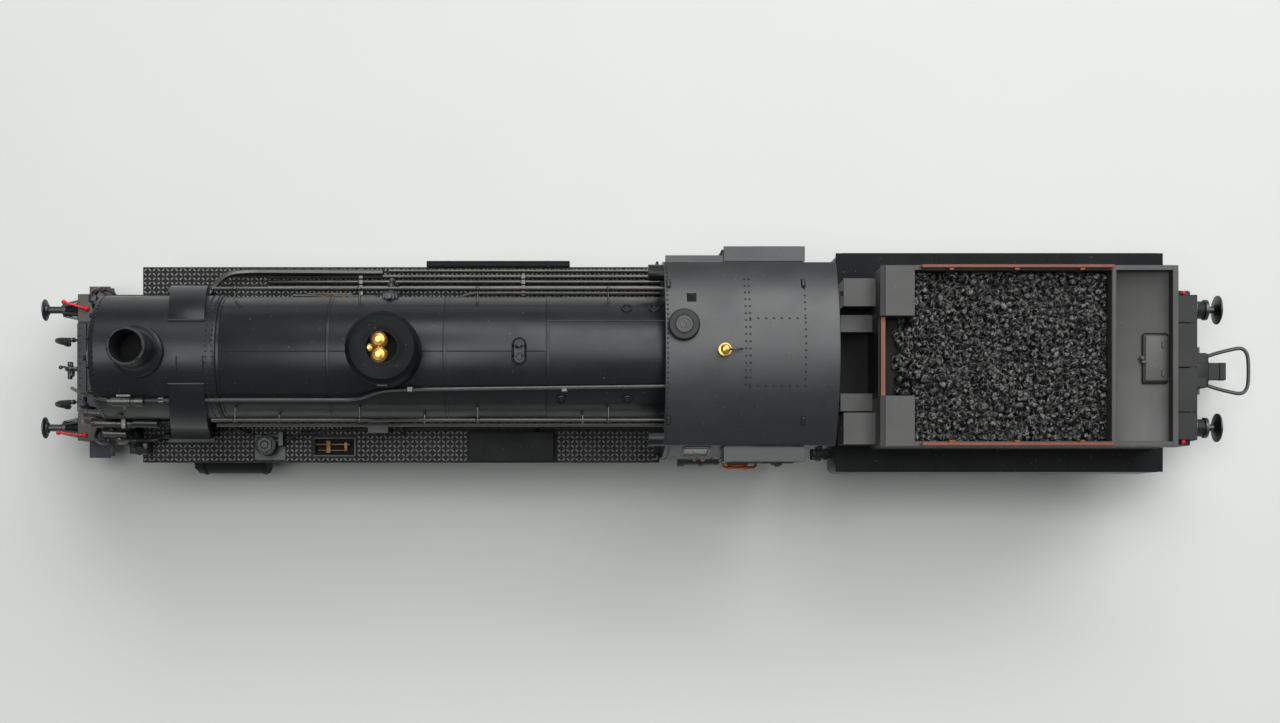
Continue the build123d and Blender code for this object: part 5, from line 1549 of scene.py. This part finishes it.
# %% Ventilator
skirt = turned(
    (3.4, 3.9, 42.2), [(0, 0), (2.42, 0), (2.42, 1.45), (2.2, 1.72), (1.5, 1.74), (1.45, 1.66), (0, 1.66)], steps=40,
)
cap = turned(
    (3.4, 3.9, 43.8),
    [
        (0, 0), (1.3, 0), (1.3, 0.22), (1.2, 0.3), (0.95, 0.3), (0.88, 0.2), (0.66, 0.2), (0.6, 0.3), (0.34, 0.32),
        (0.28, 0.22), (0, 0.22),
    ],
    steps=40,
)
fit(skirt, "ventilator_skirt", "locomotive", frame_paint, "black_paint")
# the cap's light grey is a painted sheen
fit(cap, "ventilator_cap", "locomotive", sheen_grey_sheet, "black_paint")

# %% Windows and controls
soften("cab_windows", "locomotive", glazing, "glazing", 0.02)
controls = [
    rod((15.0, -2.0, 33.0), (16.2, -2.0, 33.0), 0.9),
    rod((15.0, 1.9, 33.8), (16.0, 1.9, 33.8), 0.8),
    rod((15.0, 4.2, 32.6), (15.9, 4.2, 32.6), 0.7),
    pipe([(14.6, -5.6, 29.0), (15.6, -5.6, 29.0), (15.6, -5.0, 34.6), (14.6, -4.6, 35.4)], 0.22),
    pipe([(14.6, 5.6, 28.0), (15.6, 5.6, 28.0), (15.6, 4.6, 35.0), (14.6, 3.0, 35.6)], 0.2),
    rod((14.8, -0.4, 36.4), (17.4, 1.8, 36.0), 0.2, sides=8), rod((14.8, 0, 27.0), (16.2, 0, 27.0), 0.5),
]
fit(controls, "gauges_and_pipes", "locomotive", brass, "brass")
fire_door = [
    plate((14.9, -1.9, 25.2), (15.5, 0.0, 28.4), 0.1),
    plate((14.9, 0.1, 25.2), (15.5, 2.0, 28.4), 0.1),
    rod((15.5, 0.4, 26.8), (16.3, 0.4, 26.8), 0.15, sides=8),
]
soften("backhead", "locomotive", frame_paint, "black_paint", 0.08, extra=fire_door)

# %% Injector pipes and side fittings
# copper pipes below the left side sheet, and a check valve behind them
copper_pipes = []
for x in (6.9, 8.3):
    copper_pipes.append(
        pipe(
            [(x, -14.6, 18.9), (x, -15.5, 18.6), (x, -15.6, 16.2), (x + 0.7, -15.5, 13.0), (x + 0.9, -14.6, 11.4)],
            0.28, bend=0.8,
        ),
    )
copper_pipes.append(
    pipe([(12.4, -15.2, 16.0), (12.4, -16.5, 15.8), (16.2, -16.5, 15.8), (16.2, -15.2, 15.0)], 0.24, bend=0.7),
)
copper_pipes += [hexagon((x, -17.0, 17.2), (x + 0.6, -17.0, 17.2), 0.4) for x in (12.6, 15.2)]
copper_pipes.append(
    pipe([(11.7, -15.2, 17.4), (11.7, -17.0, 17.2), (17.3, -17.0, 17.2), (17.3, -15.2, 16.6)], 0.24, bend=0.7),
)
fit(copper_pipes, "injector_pipes", "locomotive", copper, "brass")
injector = [
    rod((5.2, -15.4, 12.2), (11.6, -15.4, 12.2), 0.95, sides=16),
    rod((4.4, -15.4, 12.2), (5.6, -15.4, 12.2), 1.25, sides=16),
    rod((8.0, -15.4, 12.2), (8.8, -15.4, 12.2), 1.2, sides=16),
    rod((8.4, -15.4, 12.2), (8.4, -15.4, 9.8), 0.55, sides=12),
    plate((6.0, -15.4, 12.8), (10.6, -13.2, 17.6), 0.2),
    rod((20.6, -16.2, 18.0), (20.6, -16.2, 19.9), 0.75, sides=14),
    plate((19.8, -16.6, 17.2), (21.6, -15.4, 18.4), 0.1),
]
fit(injector, "injector", "locomotive", pipe_paint, "black_paint")
# %% [markdown]
# ## Tender body
# The tender is a wide water tank with a narrower coal bunker on top. Rounded corners and thin rims give it
# away as sheet metal, so a flat strip is laid on every rim. The lockers in front have lids, and the tank
# top has seams where its plates meet. Two low boxes and two tall ones stand on the shelf in front.

# %% Tank
tank_high, tank_half, seam_x = 24.1, 18.0, (46.2, 64.8)
SUNK = 0.11
side_rivets, end_rivets = [], []
for side in (1, -1):
    y, normal = side * (tank_half - SUNK), (0, side, 0)
    for z in (15.7, 23.4):
        side_rivets += rivet_line((31.4, y, z), (81.6, y, z), 1.4, normal)
    for x in seam_x:
        side_rivets += rivet_line((x, y, 16.9), (x, y, 22.2), 1.3, normal)
for x, out in ((29.6, -1), (83.4, 1)):
    for z in (15.7, 23.4):
        end_rivets += rivet_line((x, -16.2, z), (x, 16.2, z), 1.4, (out, 0, 0))
seams = [
    plate((x - 0.35, s * 14.3, tank_high - 0.05), (x + 0.35, s * 17.7, tank_high + 0.08), 0.03)
    for x in seam_x for s in (1, -1)
]
soften("tender_tank", "tender", black_paint, "black_paint", 0.12, extra=[rivets(end_rivets, 0.13)])
# the tank top takes the darker enamel as painted shade
fit(
    [plate((29.65, -17.95, tank_high - 0.3), (83.35, 17.95, tank_high + 0.04), 0.05), *seams], "tank_top", "tender",
    dark_paint_and_shade, "black_paint",
)
fit(rivets(side_rivets, 0.13), "tank_rivets", "tender", black_paint, "black_paint")

# %% Bunker with its lockers and deck
bunker_half = 14.28
rims = []
for side in (1, -1):
    rims.append(plate((40.3, side * 13.5, bunker_top - 0.6), (81.1, side * bunker_half, bunker_top + 0.04), 0.05))
rims.append(plate((81.1, -bunker_half, bunker_top - 0.6), (81.98, bunker_half, bunker_top + 0.04), 0.05))
rims.append(plate((71.6, -13.6, bunker_top - 0.6), (72.2, 13.6, bunker_top + 0.04), 0.05))
lockers = []
for side in (1, -1):
    lockers.append(plate((35.7, side * 6.3, bunker_top - 0.3), (40.4, side * bunker_half, bunker_top + 0.1), 0.05))
bunker_rivets = []
for side in (1, -1):
    y, normal = side * 14.3, (0, side, 0)
    for z in (25.0, 34.0):
        bunker_rivets += rivet_line((36.4, y, z), (80.6, y, z), 1.3, normal)
    for x in (40.6, 56.0, 71.6):
        bunker_rivets += rivet_line((x, y, 26.2), (x, y, 33.0), 1.3, normal)
for z in (25.0, 34.0):
    front_row = rivet_line((34.9, -13.0, z), (34.9, 13.0, z), 1.3, (-1, 0, 0))
    bunker_rivets += [(place, normal) for place, normal in front_row if abs(place.y) > 6.9]
    bunker_rivets += rivet_line((82.0, -13.0, z), (82.0, 13.0, z), 1.3, (1, 0, 0))
# the bunker and its lockers wear the lighter grey, a painted sheen
soften(
    "tender_bunker", "tender", sheen_deck_paint, "black_paint", 0.12, extra=[*rims, *lockers, rivets(bunker_rivets, 0.13)],
)
fronts = [plate((34.9, s * 6.3, bunker_top - 0.3), (35.7, s * bunker_half, bunker_top + 0.03), 0.04) for s in (1, -1)]
fit(fronts, "locker_fronts", "tender", frame_paint, "black_paint")

# %% Hatch
# a lid with a latch in front and two hinges behind, on a black sheet that shows around its front and sides as painted
# shade, open at the rear
hatch_low = 32.5
hatch = [
    plate((77.35, -3.9, hatch_low), (81.1, 3.45, hatch_low + 0.62), 0.3, 3),
    plate((76.8, -1.0, hatch_low), (77.6, -0.6, hatch_low + 0.75), 0.05),
    ball((76.9, -0.2, hatch_low + 0.45), 0.42),
]
hatch += [
    rod((80.2, y - 0.5, hatch_low + 0.62), (80.2, y + 0.5, hatch_low + 0.62), 0.28, sides=10)
    for y in (1.9, -2.6)
]
# the lid's light grey is a painted sheen
fit(hatch, "hatch_lid", "tender", sheen_grey_sheet, "black_paint", "tank_hatch")
# the black sheet around the lid is painted shade
hatch_shade = plate((77.0, -4.25, hatch_low), (81.1, 3.8, hatch_low + 0.34), 0.4, 3)
fit(hatch_shade, "hatch_painted_shade", "tender", rubber, "frame_black")

# %% [markdown]
# ## Coal
# Real coal is heaped, broken and glossy. The heap is a grid lifted into low mounds, and several hundred
# lumps lie on it. Four lumps are made from an icosphere whose points are pushed in and out at random and
# which is then cut flat on five sides. They're stamped over the heap, each turned and sized differently.

# %% Heap
mounds = [
    (46, 5, 2.2), (52, -5, 2.4), (58, 4, 2.5), (64, -3, 2.1), (66, 6, 1.7), (49, -9, 1.4), (61, -9, 1.2),
    (44, -3, 1.2), (54, 9.5, 1.1),
]


def heap_at(x, y):
    """Height of the coal at (x, y)."""
    rise = sum(h * math.exp(-((x - a) ** 2 + (y - b) ** 2) / 17.0) for a, b, h in mounds)
    return 32.4 + min(rise, 2.6) * 0.72


deselect()
bpy.ops.mesh.primitive_grid_add(x_subdivisions=78, y_subdivisions=68, size=1, location=(0, 0, 0))
heap = bpy.context.active_object
edit(heap)
bpy.ops.transform.resize(value=(30.9 * mm, 26.9 * mm, 1))
bpy.ops.transform.translate(value=(55.9 * mm, 0, 0))
bpy.ops.mesh.extrude_region_move(TRANSFORM_OT_translate={"value": (0, 0, 4 * mm)})
deselect()
dice = random.Random(7)
for v in heap.data.vertices:
    x, y = v.co.x / mm, v.co.y / mm
    v.co.z = (26.0 if v.co.z < 2 * mm else heap_at(x, y) + dice.uniform(-0.35, 0.35)) * mm
edit(heap)
bpy.ops.mesh.select_all(action="SELECT")
bpy.ops.mesh.normals_make_consistent(inside=False)
deselect()

# %% Lumps
lumps = [heap]
LUMP_KINDS, ROWS, COLUMNS, THROAT_LUMPS, FLAT_SIDES = 4, 25, 23, 52, 5
spots = [[] for _ in range(LUMP_KINDS)]
for row in range(ROWS):
    for column in range(COLUMNS):
        x = 41.0 + row * 1.24 + dice.uniform(-0.42, 0.42)
        y = -12.9 + column * 1.17 + dice.uniform(-0.4, 0.4)
        size = dice.uniform(0.75, 1.15) * (1.2 if dice.random() < 0.1 else 1)
        turn = Euler([dice.uniform(0, 6.3) for _ in range(3)]).to_matrix().to_4x4()
        place = Matrix.Translation(
            Vector((min(max(x, 41.1), 70.8), min(max(y, -12.8), 12.8), heap_at(x, y) + dice.uniform(-0.1, 0.5))) * mm,
        )
        spots[dice.randrange(LUMP_KINDS)].append(
            place @ turn @ Matrix.Diagonal((size, size * dice.uniform(0.75, 1.1), size * dice.uniform(0.6, 0.95), 1)),
        )
for _ in range(THROAT_LUMPS):
    x, y = dice.uniform(38.2, 41.2), dice.uniform(-5.9, 5.9)
    turn = Euler([dice.uniform(0, 6.3) for _ in range(3)]).to_matrix().to_4x4()
    spots[dice.randrange(LUMP_KINDS)].append(Matrix.Translation(Vector((x, y, 30.4 + 0.75 * (x - 38.2))) * mm) @ turn)
for kind in range(LUMP_KINDS):
    deselect()
    bpy.ops.mesh.primitive_ico_sphere_add(subdivisions=2, radius=0.72 * mm)
    lump = bpy.context.active_object
    for v in lump.data.vertices:
        v.co *= dice.uniform(0.86, 1.1)
    for _ in range(FLAT_SIDES):
        cut = Vector([dice.uniform(-1, 1) for _ in range(3)]).normalized()
        edit(lump)
        bpy.ops.mesh.select_all(action="SELECT")
        bpy.ops.mesh.bisect(plane_co=cut * 0.56 * mm, plane_no=cut, clear_outer=True, use_fill=True)
        deselect()
    lumps.append(stamp(lump, spots[kind]))
fit(lumps, "coal_heap", "tender", coal, "coal", "coal", angle=24)

# %% Coal rails
rails = []
for side in (1, -1):
    rails.append(plate((41.3, side * 13.7, bunker_top + 0.25), (71.6, side * 14.25, bunker_top + 1.2), 0.12))
    for x in (46.0, 56.3, 66.6):
        rails.append(
            plate((x - 0.4, side * 13.35, bunker_top - 1.5), (x + 0.4, side * 13.75, bunker_top + 1.05), 0.08),
        )
rails.append(plate((35.2, -6.3, 33.0), (35.95, 6.3, 34.0), 0.06))
fit(rails, "oxide_rails", "tender", rail_metal, "planks", "bunker_planks")
fit(
    plate((34.95, -6.3, tank_high + 0.05), (35.9, 6.3, 33.02), 0.04), "shovel_plate", "tender", frame_paint,
    "black_paint",
)
# the throat floor is a dark sheet of painted shade
fit(plate((35.4, -6.3, tank_high), (40.6, 6.3, 30.2), 0.1), "throat_floor", "tender", soot_and_shade, "black_paint")

# %% [markdown]
# ## Tender frame
# Outside frames carry the axleboxes and springs. Each spring is a stack of leaves clipped in the middle,
# laid leaf by leaf over every axlebox. The rear beam's plates and bolts finish it.

# %% Axleboxes and springs
boxes = []
for side in (1, -1):
    for x in tender_x.values():
        boxes.append(plate((x - 1.5, side * 13.0, 5.2), (x + 1.5, side * 14.4, 8.6), 0.25, 2))
        boxes.append(plate((x - 1.1, side * 14.3, 5.6), (x + 1.1, side * 14.7, 8.0), 0.15))
        boxes.append(rod((x, side * 14.3, 8.4), (x, side * 14.9, 8.4), 0.35, sides=10))
        for k in range(5):
            half_length = 5.0 - 0.85 * k
            boxes.append(
                plate(
                    (x - half_length, side * 13.15, 11.5 - 0.42 * k),
                    (x + half_length, side * 14.35, 11.86 - 0.42 * k), 0.08,
                ),
            )
        boxes.append(plate((x - 0.6, side * 13.05, 9.2), (x + 0.6, side * 14.55, 12.2), 0.1))
        for end in (-4.9, 4.9):
            boxes.append(rod((x + end, side * 13.75, 11.2), (x + end, side * 13.75, 13.4), 0.25, sides=8))
beam_plates = []
for low, high in ((-12.2, -7.6), (-7.5, -0.08), (0.08, 7.5), (7.6, 12.2)):
    beam_plates.append(plate((83.5, low, deck_z - 0.25), (92.12, high, deck_z + 0.06), 0.05))
beam_bolts = rivets(
    [((92.1, y, z), (1, 0, 0)) for y in (-11.8, -8.2, -6.6, 6.6, 8.2, 11.8) for z in (11.2, 13.2, 15.2)], 0.2,
)
soften("tender_frame", "tender", frame_paint, "frame_black", 0.08, extra=[*boxes, *beam_plates, beam_bolts])

# %% Front shelf of the tender and the fall plate
shelf = []
for low, high, top in ((8.4, 12.7, 31.0), (-13.7, -8.8, 31.0), (4.6, 7.2, 28.0), (-8.2, -5.5, 28.0)):
    shelf.append(plate((29.9, low, tank_high - 0.05), (34.95, high, top), 0.08))
    shelf.append(plate((29.75, low - 0.1, top - 0.3), (34.95, high + 0.1, top + 0.1), 0.04))
    shelf.append(
        rod((29.7, (low + high) / 2 - 0.4, top - 1.4), (29.7, (low + high) / 2 + 0.4, top - 1.4), 0.22, sides=8),
    )
# the shelf boxes also wear the painted sheen grey
fit(shelf, "shelf_boxes", "tender", sheen_deck_paint, "black_paint")
hose_valve = [
    rod((26.8, -14.7, 16.9), (29.7, -14.7, 16.9), 0.75),
    rod((27.4, -14.7, 16.9), (28.3, -14.7, 16.9), 1.2),
    hexagon((28.7, -14.7, 16.9), (29.3, -14.7, 16.9), 1.1),
    rod((27.9, -14.7, 16.9), (27.9, -13.2, 18.6), 0.45),
    rod((27.1, -15.6, 15.6), (27.1, -13.8, 15.6), 0.5),
]
fit(hose_valve, "hose_valve", "tender", frame_paint, "black_paint")
# the floor between the shelf boxes is a dark sheet of painted shade
fit(
    plate((29.9, -5.5, tank_high - 0.02), (34.9, 4.6, tank_high + 0.1), 0.02), "shelf_floor", "tender", soot_and_shade,
    "frame_black",
)
fit(
    [plate((23.05, -6.6, 19.5), (27.2, 6.6, 19.9), 0.1), rod((23.3, -6.6, 19.9), (23.3, 6.6, 19.9), 0.3, sides=10)],
    "fall_plate", "locomotive", tread_plate, "tread_plate",
)
# %% [markdown]
# ## Wheels
# A driving wheel is a black spoked centre with a bright steel tyre shrunk on. The centre keeps the CAD's
# spokes with their edges rounded. The tyre is turned from the wheel's section, a hair proud of the
# centre, so that the steel shows only where wheels are really bare.

# %% Tyres
wheel_back, flange_depth = 7.2, 0.75


def tyre(x, z, radius, side, inner):
    """Turned tyre with a flange and a chamfered face."""
    skin = 0.03
    out = radius + skin
    section = [
        (inner, -0.02), (out + flange_depth - 0.2, -0.02), (out + flange_depth, 0.15),
        (out + flange_depth - 0.05, 0.42), (out + 0.12, 0.72), (out, 0.95),
        (out, 2.6), (out - 0.15, 2.84), (inner + 0.12, 2.84), (inner, 2.76), (inner, -0.02),
    ]
    return turned((x, side * wheel_back, z), section, OUTWARD[side], 56)


crank_throw, crank_angle = 3.75, {1: 180, -1: 270}
DRIVEN = 3


def crank_pin(side):
    """How far the crank pin is from its axle, along X and along Z."""
    angle = math.radians(crank_angle[side])
    return crank_throw * math.cos(angle), crank_throw * math.sin(angle)


for number, x in driver_x.items():
    ring = join([tyre(x, driver_z, 8.35, 1, 7.35), tyre(x, driver_z, 8.35, -1, 7.35)])
    fit(ring, f"driver_tyres_{number}", f"driver_{number}", wheel_steel, "wheel_steel")
    caps = []
    for side in (1, -1):
        dx, dz = crank_pin(side)
        pin_x, pin_z = x + dx, driver_z + dz
        if number == DRIVEN:
            caps.append(hexagon((pin_x, side * 11.1, pin_z), (pin_x, side * 11.14, pin_z), 0.5))
        else:
            cap_profile = [(0, 0), (0.55, 0), (0.55, 0.1), (0.42, 0.16), (0, 0.16)]
            caps.append(turned((pin_x, side * 10.98, pin_z), cap_profile, OUTWARD[side], 20))
        caps.append(
            turned(
                (x, side * 10.2, driver_z),
                [(0, 0), (1.3, 0), (1.3, 0.06), (1.2, 0.1), (0.6, 0.1), (0.5, 0.02), (0, 0.02)], OUTWARD[side], 24,
            ),
        )
        for dx, dz in around(6, 0.9, 20):
            caps.append(hexagon((x + dx, side * 10.25, driver_z + dz), (x + dx, side * 10.37, driver_z + dz), 0.17))
    soften(f"driver_wheelset_{number}", f"driver_{number}", frame_paint, "wheel_steel", 0.05, extra=caps)
print("driving wheels:", len(driver_x))

# %% Small wheels
small_wheels = [("pony_wheelset", "pony_wheels", -86.5, 5.8, 4.9)]
small_wheels += [(f"tender_wheelset_{n}", f"tender_wheels_{n}", x, 6.9, 6.0) for n, x in tender_x.items()]
for name, body, x, z, radius in small_wheels:
    ring = join([tyre(x, z, radius, 1, radius - 1.1), tyre(x, z, radius, -1, radius - 1.1)])
    fit(ring, f"{name}_tyres", body, wheel_steel, "wheel_steel")
    hubs = []
    for side in (1, -1):
        hubs.append(
            turned(
                (x, side * 9.6, z), [(0, 0), (1.7, 0), (1.7, 0.42), (1.35, 0.6), (0.9, 0.66), (0, 0.66)],
                OUTWARD[side], 28,
            ),
        )
    soften(name, body, frame_paint, "wheel_steel", 0.06, extra=hubs)

# %% [markdown]
# ## Rods and valve gear
# The rods are bright steel with oil cups above each bearing. Everything keeps the CAD's shapes, because the
# pieces move in thin layers past each other, and only edges, cups and pin heads are added.

# %% Rods
MOTION_EDGES = {
    "main_rod": 0.05, "eccentric_rod": 0.04, "crosshead": 0.06, "expansion_link": 0.05, "combination_lever": 0.05,
}
for hand, side in (("right", 1), ("left", -1)):
    dx, dz = crank_pin(side)
    cups = []
    for x in driver_x.values():
        pin_x, cup_y, pin_z = x + dx, side * 10.68, driver_z + dz
        cups.append(rod((pin_x, cup_y, pin_z + 1.25), (pin_x, cup_y, pin_z + 1.85), 0.2, sides=10))
        cups.append(ball((pin_x, cup_y, pin_z + 1.88), 0.22, (1, 1, 0.8), 10))
    soften(f"coupling_rod_{hand}", f"coupling_rod_{hand}", rod_steel, "rod_steel", 0.05, extra=cups)
    for part, edge in MOTION_EDGES.items():
        soften(f"{part}_{hand}", f"{part}_{hand}", rod_steel, "rod_steel", edge)
soften("slide_bars", "locomotive", dark_steel, "rod_steel", 0.06)

# %% Cylinders
covers = []
for side in (1, -1):
    y = side * 12.9
    covers.append(
        turned(
            (-77.9, y, driver_z),
            [(0, 0), (4.35, 0), (4.35, 0.35), (3.2, 0.5), (2.9, 0.95), (1.1, 1.1), (1.0, 1.35), (0, 1.35)], "-X", 40,
        ),
    )
    for dy, dz in around(12, 3.85, 15):
        covers.append(hexagon((-78.2, y + dy, driver_z + dz), (-78.55, y + dy, driver_z + dz), 0.3))
    covers.append(
        turned(
            (-78.6, y, 15.85), [(0, 0), (2.2, 0), (2.2, 0.3), (1.2, 0.45), (1.2, 1.2), (0.9, 1.4), (0, 1.4)], "-X",
            32,
        ),
    )
    for x in (-77.0, -66.8):
        covers.append(turned((x, y, driver_z), [(4.82, 0), (4.98, 0), (4.98, 0.5), (4.82, 0.5), (4.82, 0)], "X", 56))
    covers.append(rod((-73.5, y, driver_z - 4.7), (-73.5, y, driver_z - 5.9), 0.45, sides=12))
    covers.append(rod((-76.5, y, driver_z - 4.2), (-76.5, y + side * 0.3, driver_z - 5.6), 0.3, sides=10))
    covers.append(rod((-67.4, y, driver_z - 4.2), (-67.4, y + side * 0.3, driver_z - 5.6), 0.3, sides=10))
# the cylinders take the darker enamel as painted shade
soften("cylinders", "locomotive", dark_paint_and_shade, "black_paint", 0.12, extra=covers)

# %% [markdown]
# ## Frames and drive
# The frame, the keeper plate, the motor and the gears are seen only from below or through gaps, so a rounded
# edge and the right finish are enough. Screws hold the keeper plate, and the worm and the gear keep the
# teeth that the CAD gave them.

# %% Frames, pony truck and drawbar
soften("main_frame", "locomotive", frame_paint, "frame_black", 0.1)
screws = []
for x in (-58.0, -42.6, -23.6, 8.6):
    for y in (3.4, -3.4):
        screws.append(turned((x, y, 6.55), [(0, 0), (0.75, 0), (0.8, -0.12), (0.3, -0.3), (0, -0.3)], "Z", 16))
soften("keeper_plate", "locomotive", frame_paint, "frame_black", 0.08, extra=screws)
soften("pony_truck", "pony_truck", frame_paint, "frame_black", 0.1)
soften("drawbar", "drawbar", dark_steel, "zinc", 0.06)
soften("ballast_weight", "locomotive", zinc, "zinc", 0.15)

# %% Motor, gears and circuit board
soften("motor", "locomotive", zinc, "zinc", 0.15)
soften("motor_worm", "motor_shaft", brass, "brass", 0.04)
soften("idler_gear", "idler", nylon, "gear_plastic", 0.02)
parts = [
    plate((11.0, 2.6, 25.9), (12.0, 4.4, 26.6), 0.05),
    plate((-4.6, -4.6, 25.9), (-3.4, -3.6, 26.5), 0.05),
    rod((5.0, -4.0, 25.8), (5.0, -4.0, 27.6), 0.7, sides=14),
]
soften("circuit_board", "locomotive", circuit_green, "circuit", 0.03, extra=parts)

# %% Rear coupler
soften("coupler", "coupler", frame_paint, "frame_black", 0.15, extra=[
    plate((91.6, -3.0, 8.3), (95.7, -1.1, 10.75), 0.15),
    plate((91.6, 1.1, 8.3), (95.7, 3.0, 10.75), 0.15),
    plate((92.2, -1.0, 9.9), (94.8, 1.0, 10.4), 0.12),
    plate((95.6, -1.5, 7.9), (99.6, 1.5, 8.7), 0.1),
    plate((98.6, -1.5, 7.4), (99.7, 1.5, 8.9), 0.1),
    rod((96.4, -1.7, 8.4), (96.4, 1.7, 8.4), 0.5, sides=14),
])
loop_z = 9.5
bow = pipe(
    [
        (94.6, -1.9, loop_z), (97.2, -2.9, loop_z), (99.9, -3.6, loop_z), (102.2, -4.05, loop_z),
        (103.2, -2.9, loop_z), (103.35, 0, loop_z), (103.2, 2.9, loop_z), (102.2, 4.05, loop_z), (99.9, 3.6, loop_z),
        (97.2, 2.9, loop_z), (94.6, 1.9, loop_z),
    ],
    0.32, bend=1.1, resolution=3,
)
fit(
    [bow, rod((94.6, -4.1, loop_z), (94.6, 4.1, loop_z), 0.28, sides=10)], "coupler_bow", "coupler_loop", dark_steel,
    "zinc", "coupler_loop",
)
# %% [markdown]
# ## Studio
# A plain pale floor and three soft lamps. Two panels hang overhead, one over each end, and a long low one
# stands beyond the engine's right-hand side like a window, which lights that side and leaves the near
# one in shade. The world adds a weak fill, and shows a pale backdrop to the camera and through glass and
# a dimmer one in polished metal. The camera looks straight down from a third of a metre, with its view
# shifted, which shows the engine's roof and a little of its nearer side.

# %% Floor, lights and camera
deselect()
bpy.ops.mesh.primitive_plane_add(size=6)
floor = bpy.context.active_object
floor.name = "floor"
floor.data.materials.append(floor_finish)
floor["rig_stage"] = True


def softbox(name, place, target, width, height, power):
    """A rectangular lamp at place, aimed at target, in metres."""
    light = bpy.data.lights.new(name, "AREA")
    light.shape = "RECTANGLE"
    light.size, light.size_y, light.energy = width, height, power
    lamp = bpy.data.objects.new(name, light)
    lamp.location = place
    lamp.rotation_euler = (Vector(target) - Vector(place)).to_track_quat("-Z", "Y").to_euler()
    bpy.context.scene.collection.objects.link(lamp)
    return lamp


softbox("left_panel", (-0.16, 0.02, 0.75), (-0.06, 0, 0), 0.42, 0.30, 2.1)
softbox("right_panel", (0.24, 0.25, 0.75), (0.05, 0.1, 0), 0.62, 0.40, 2.85)
softbox("window", (0.22, 0.56, 0.56), (0.05, 0, 0), 1.0, 0.30, 4.3)

world = bpy.data.worlds.new("room")
bpy.context.scene.world = world
world.use_nodes = True
sky = world.node_tree.nodes["Background"]
rays = world.node_tree.nodes.new("ShaderNodeLightPath")
shown = None
for ray, strength in (("Is Camera Ray", 0.78), ("Is Glossy Ray", 0.28), ("Is Transmission Ray", 0.78)):
    seen = world.node_tree.nodes.new("ShaderNodeMath")
    seen.operation = "MULTIPLY_ADD"
    seen.inputs[1].default_value = strength
    seen.inputs[2].default_value = 0.03
    world.node_tree.links.new(rays.outputs[ray], seen.inputs[0])
    if shown:
        world.node_tree.links.new(shown, seen.inputs[2])
    shown = seen.outputs[0]
world.node_tree.links.new(shown, sky.inputs["Strength"])
sky.inputs["Color"].default_value = (0.93, 0.96, 0.97, 1)

camera_data = bpy.data.cameras.new("camera")
camera_data.lens = 47.42
camera_data.sensor_width = 36
camera_data.shift_x = 0.0586
camera_data.shift_y = 0.1329
camera_data.clip_start = 0.01
camera = bpy.data.objects.new("camera", camera_data)
camera.location = (-0.0148, -0.02776, 0.3009)
bpy.context.scene.collection.objects.link(camera)
bpy.context.scene.camera = camera
bpy.context.scene.view_settings.view_transform = "Standard"

# %% Measure and finish
low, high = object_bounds()
print(
    "visual box:", [round(v * 1000, 2) for v in (*low, *high)], "mm,", len(made), "pieces,", sum(made.values()),
    "faces",
)
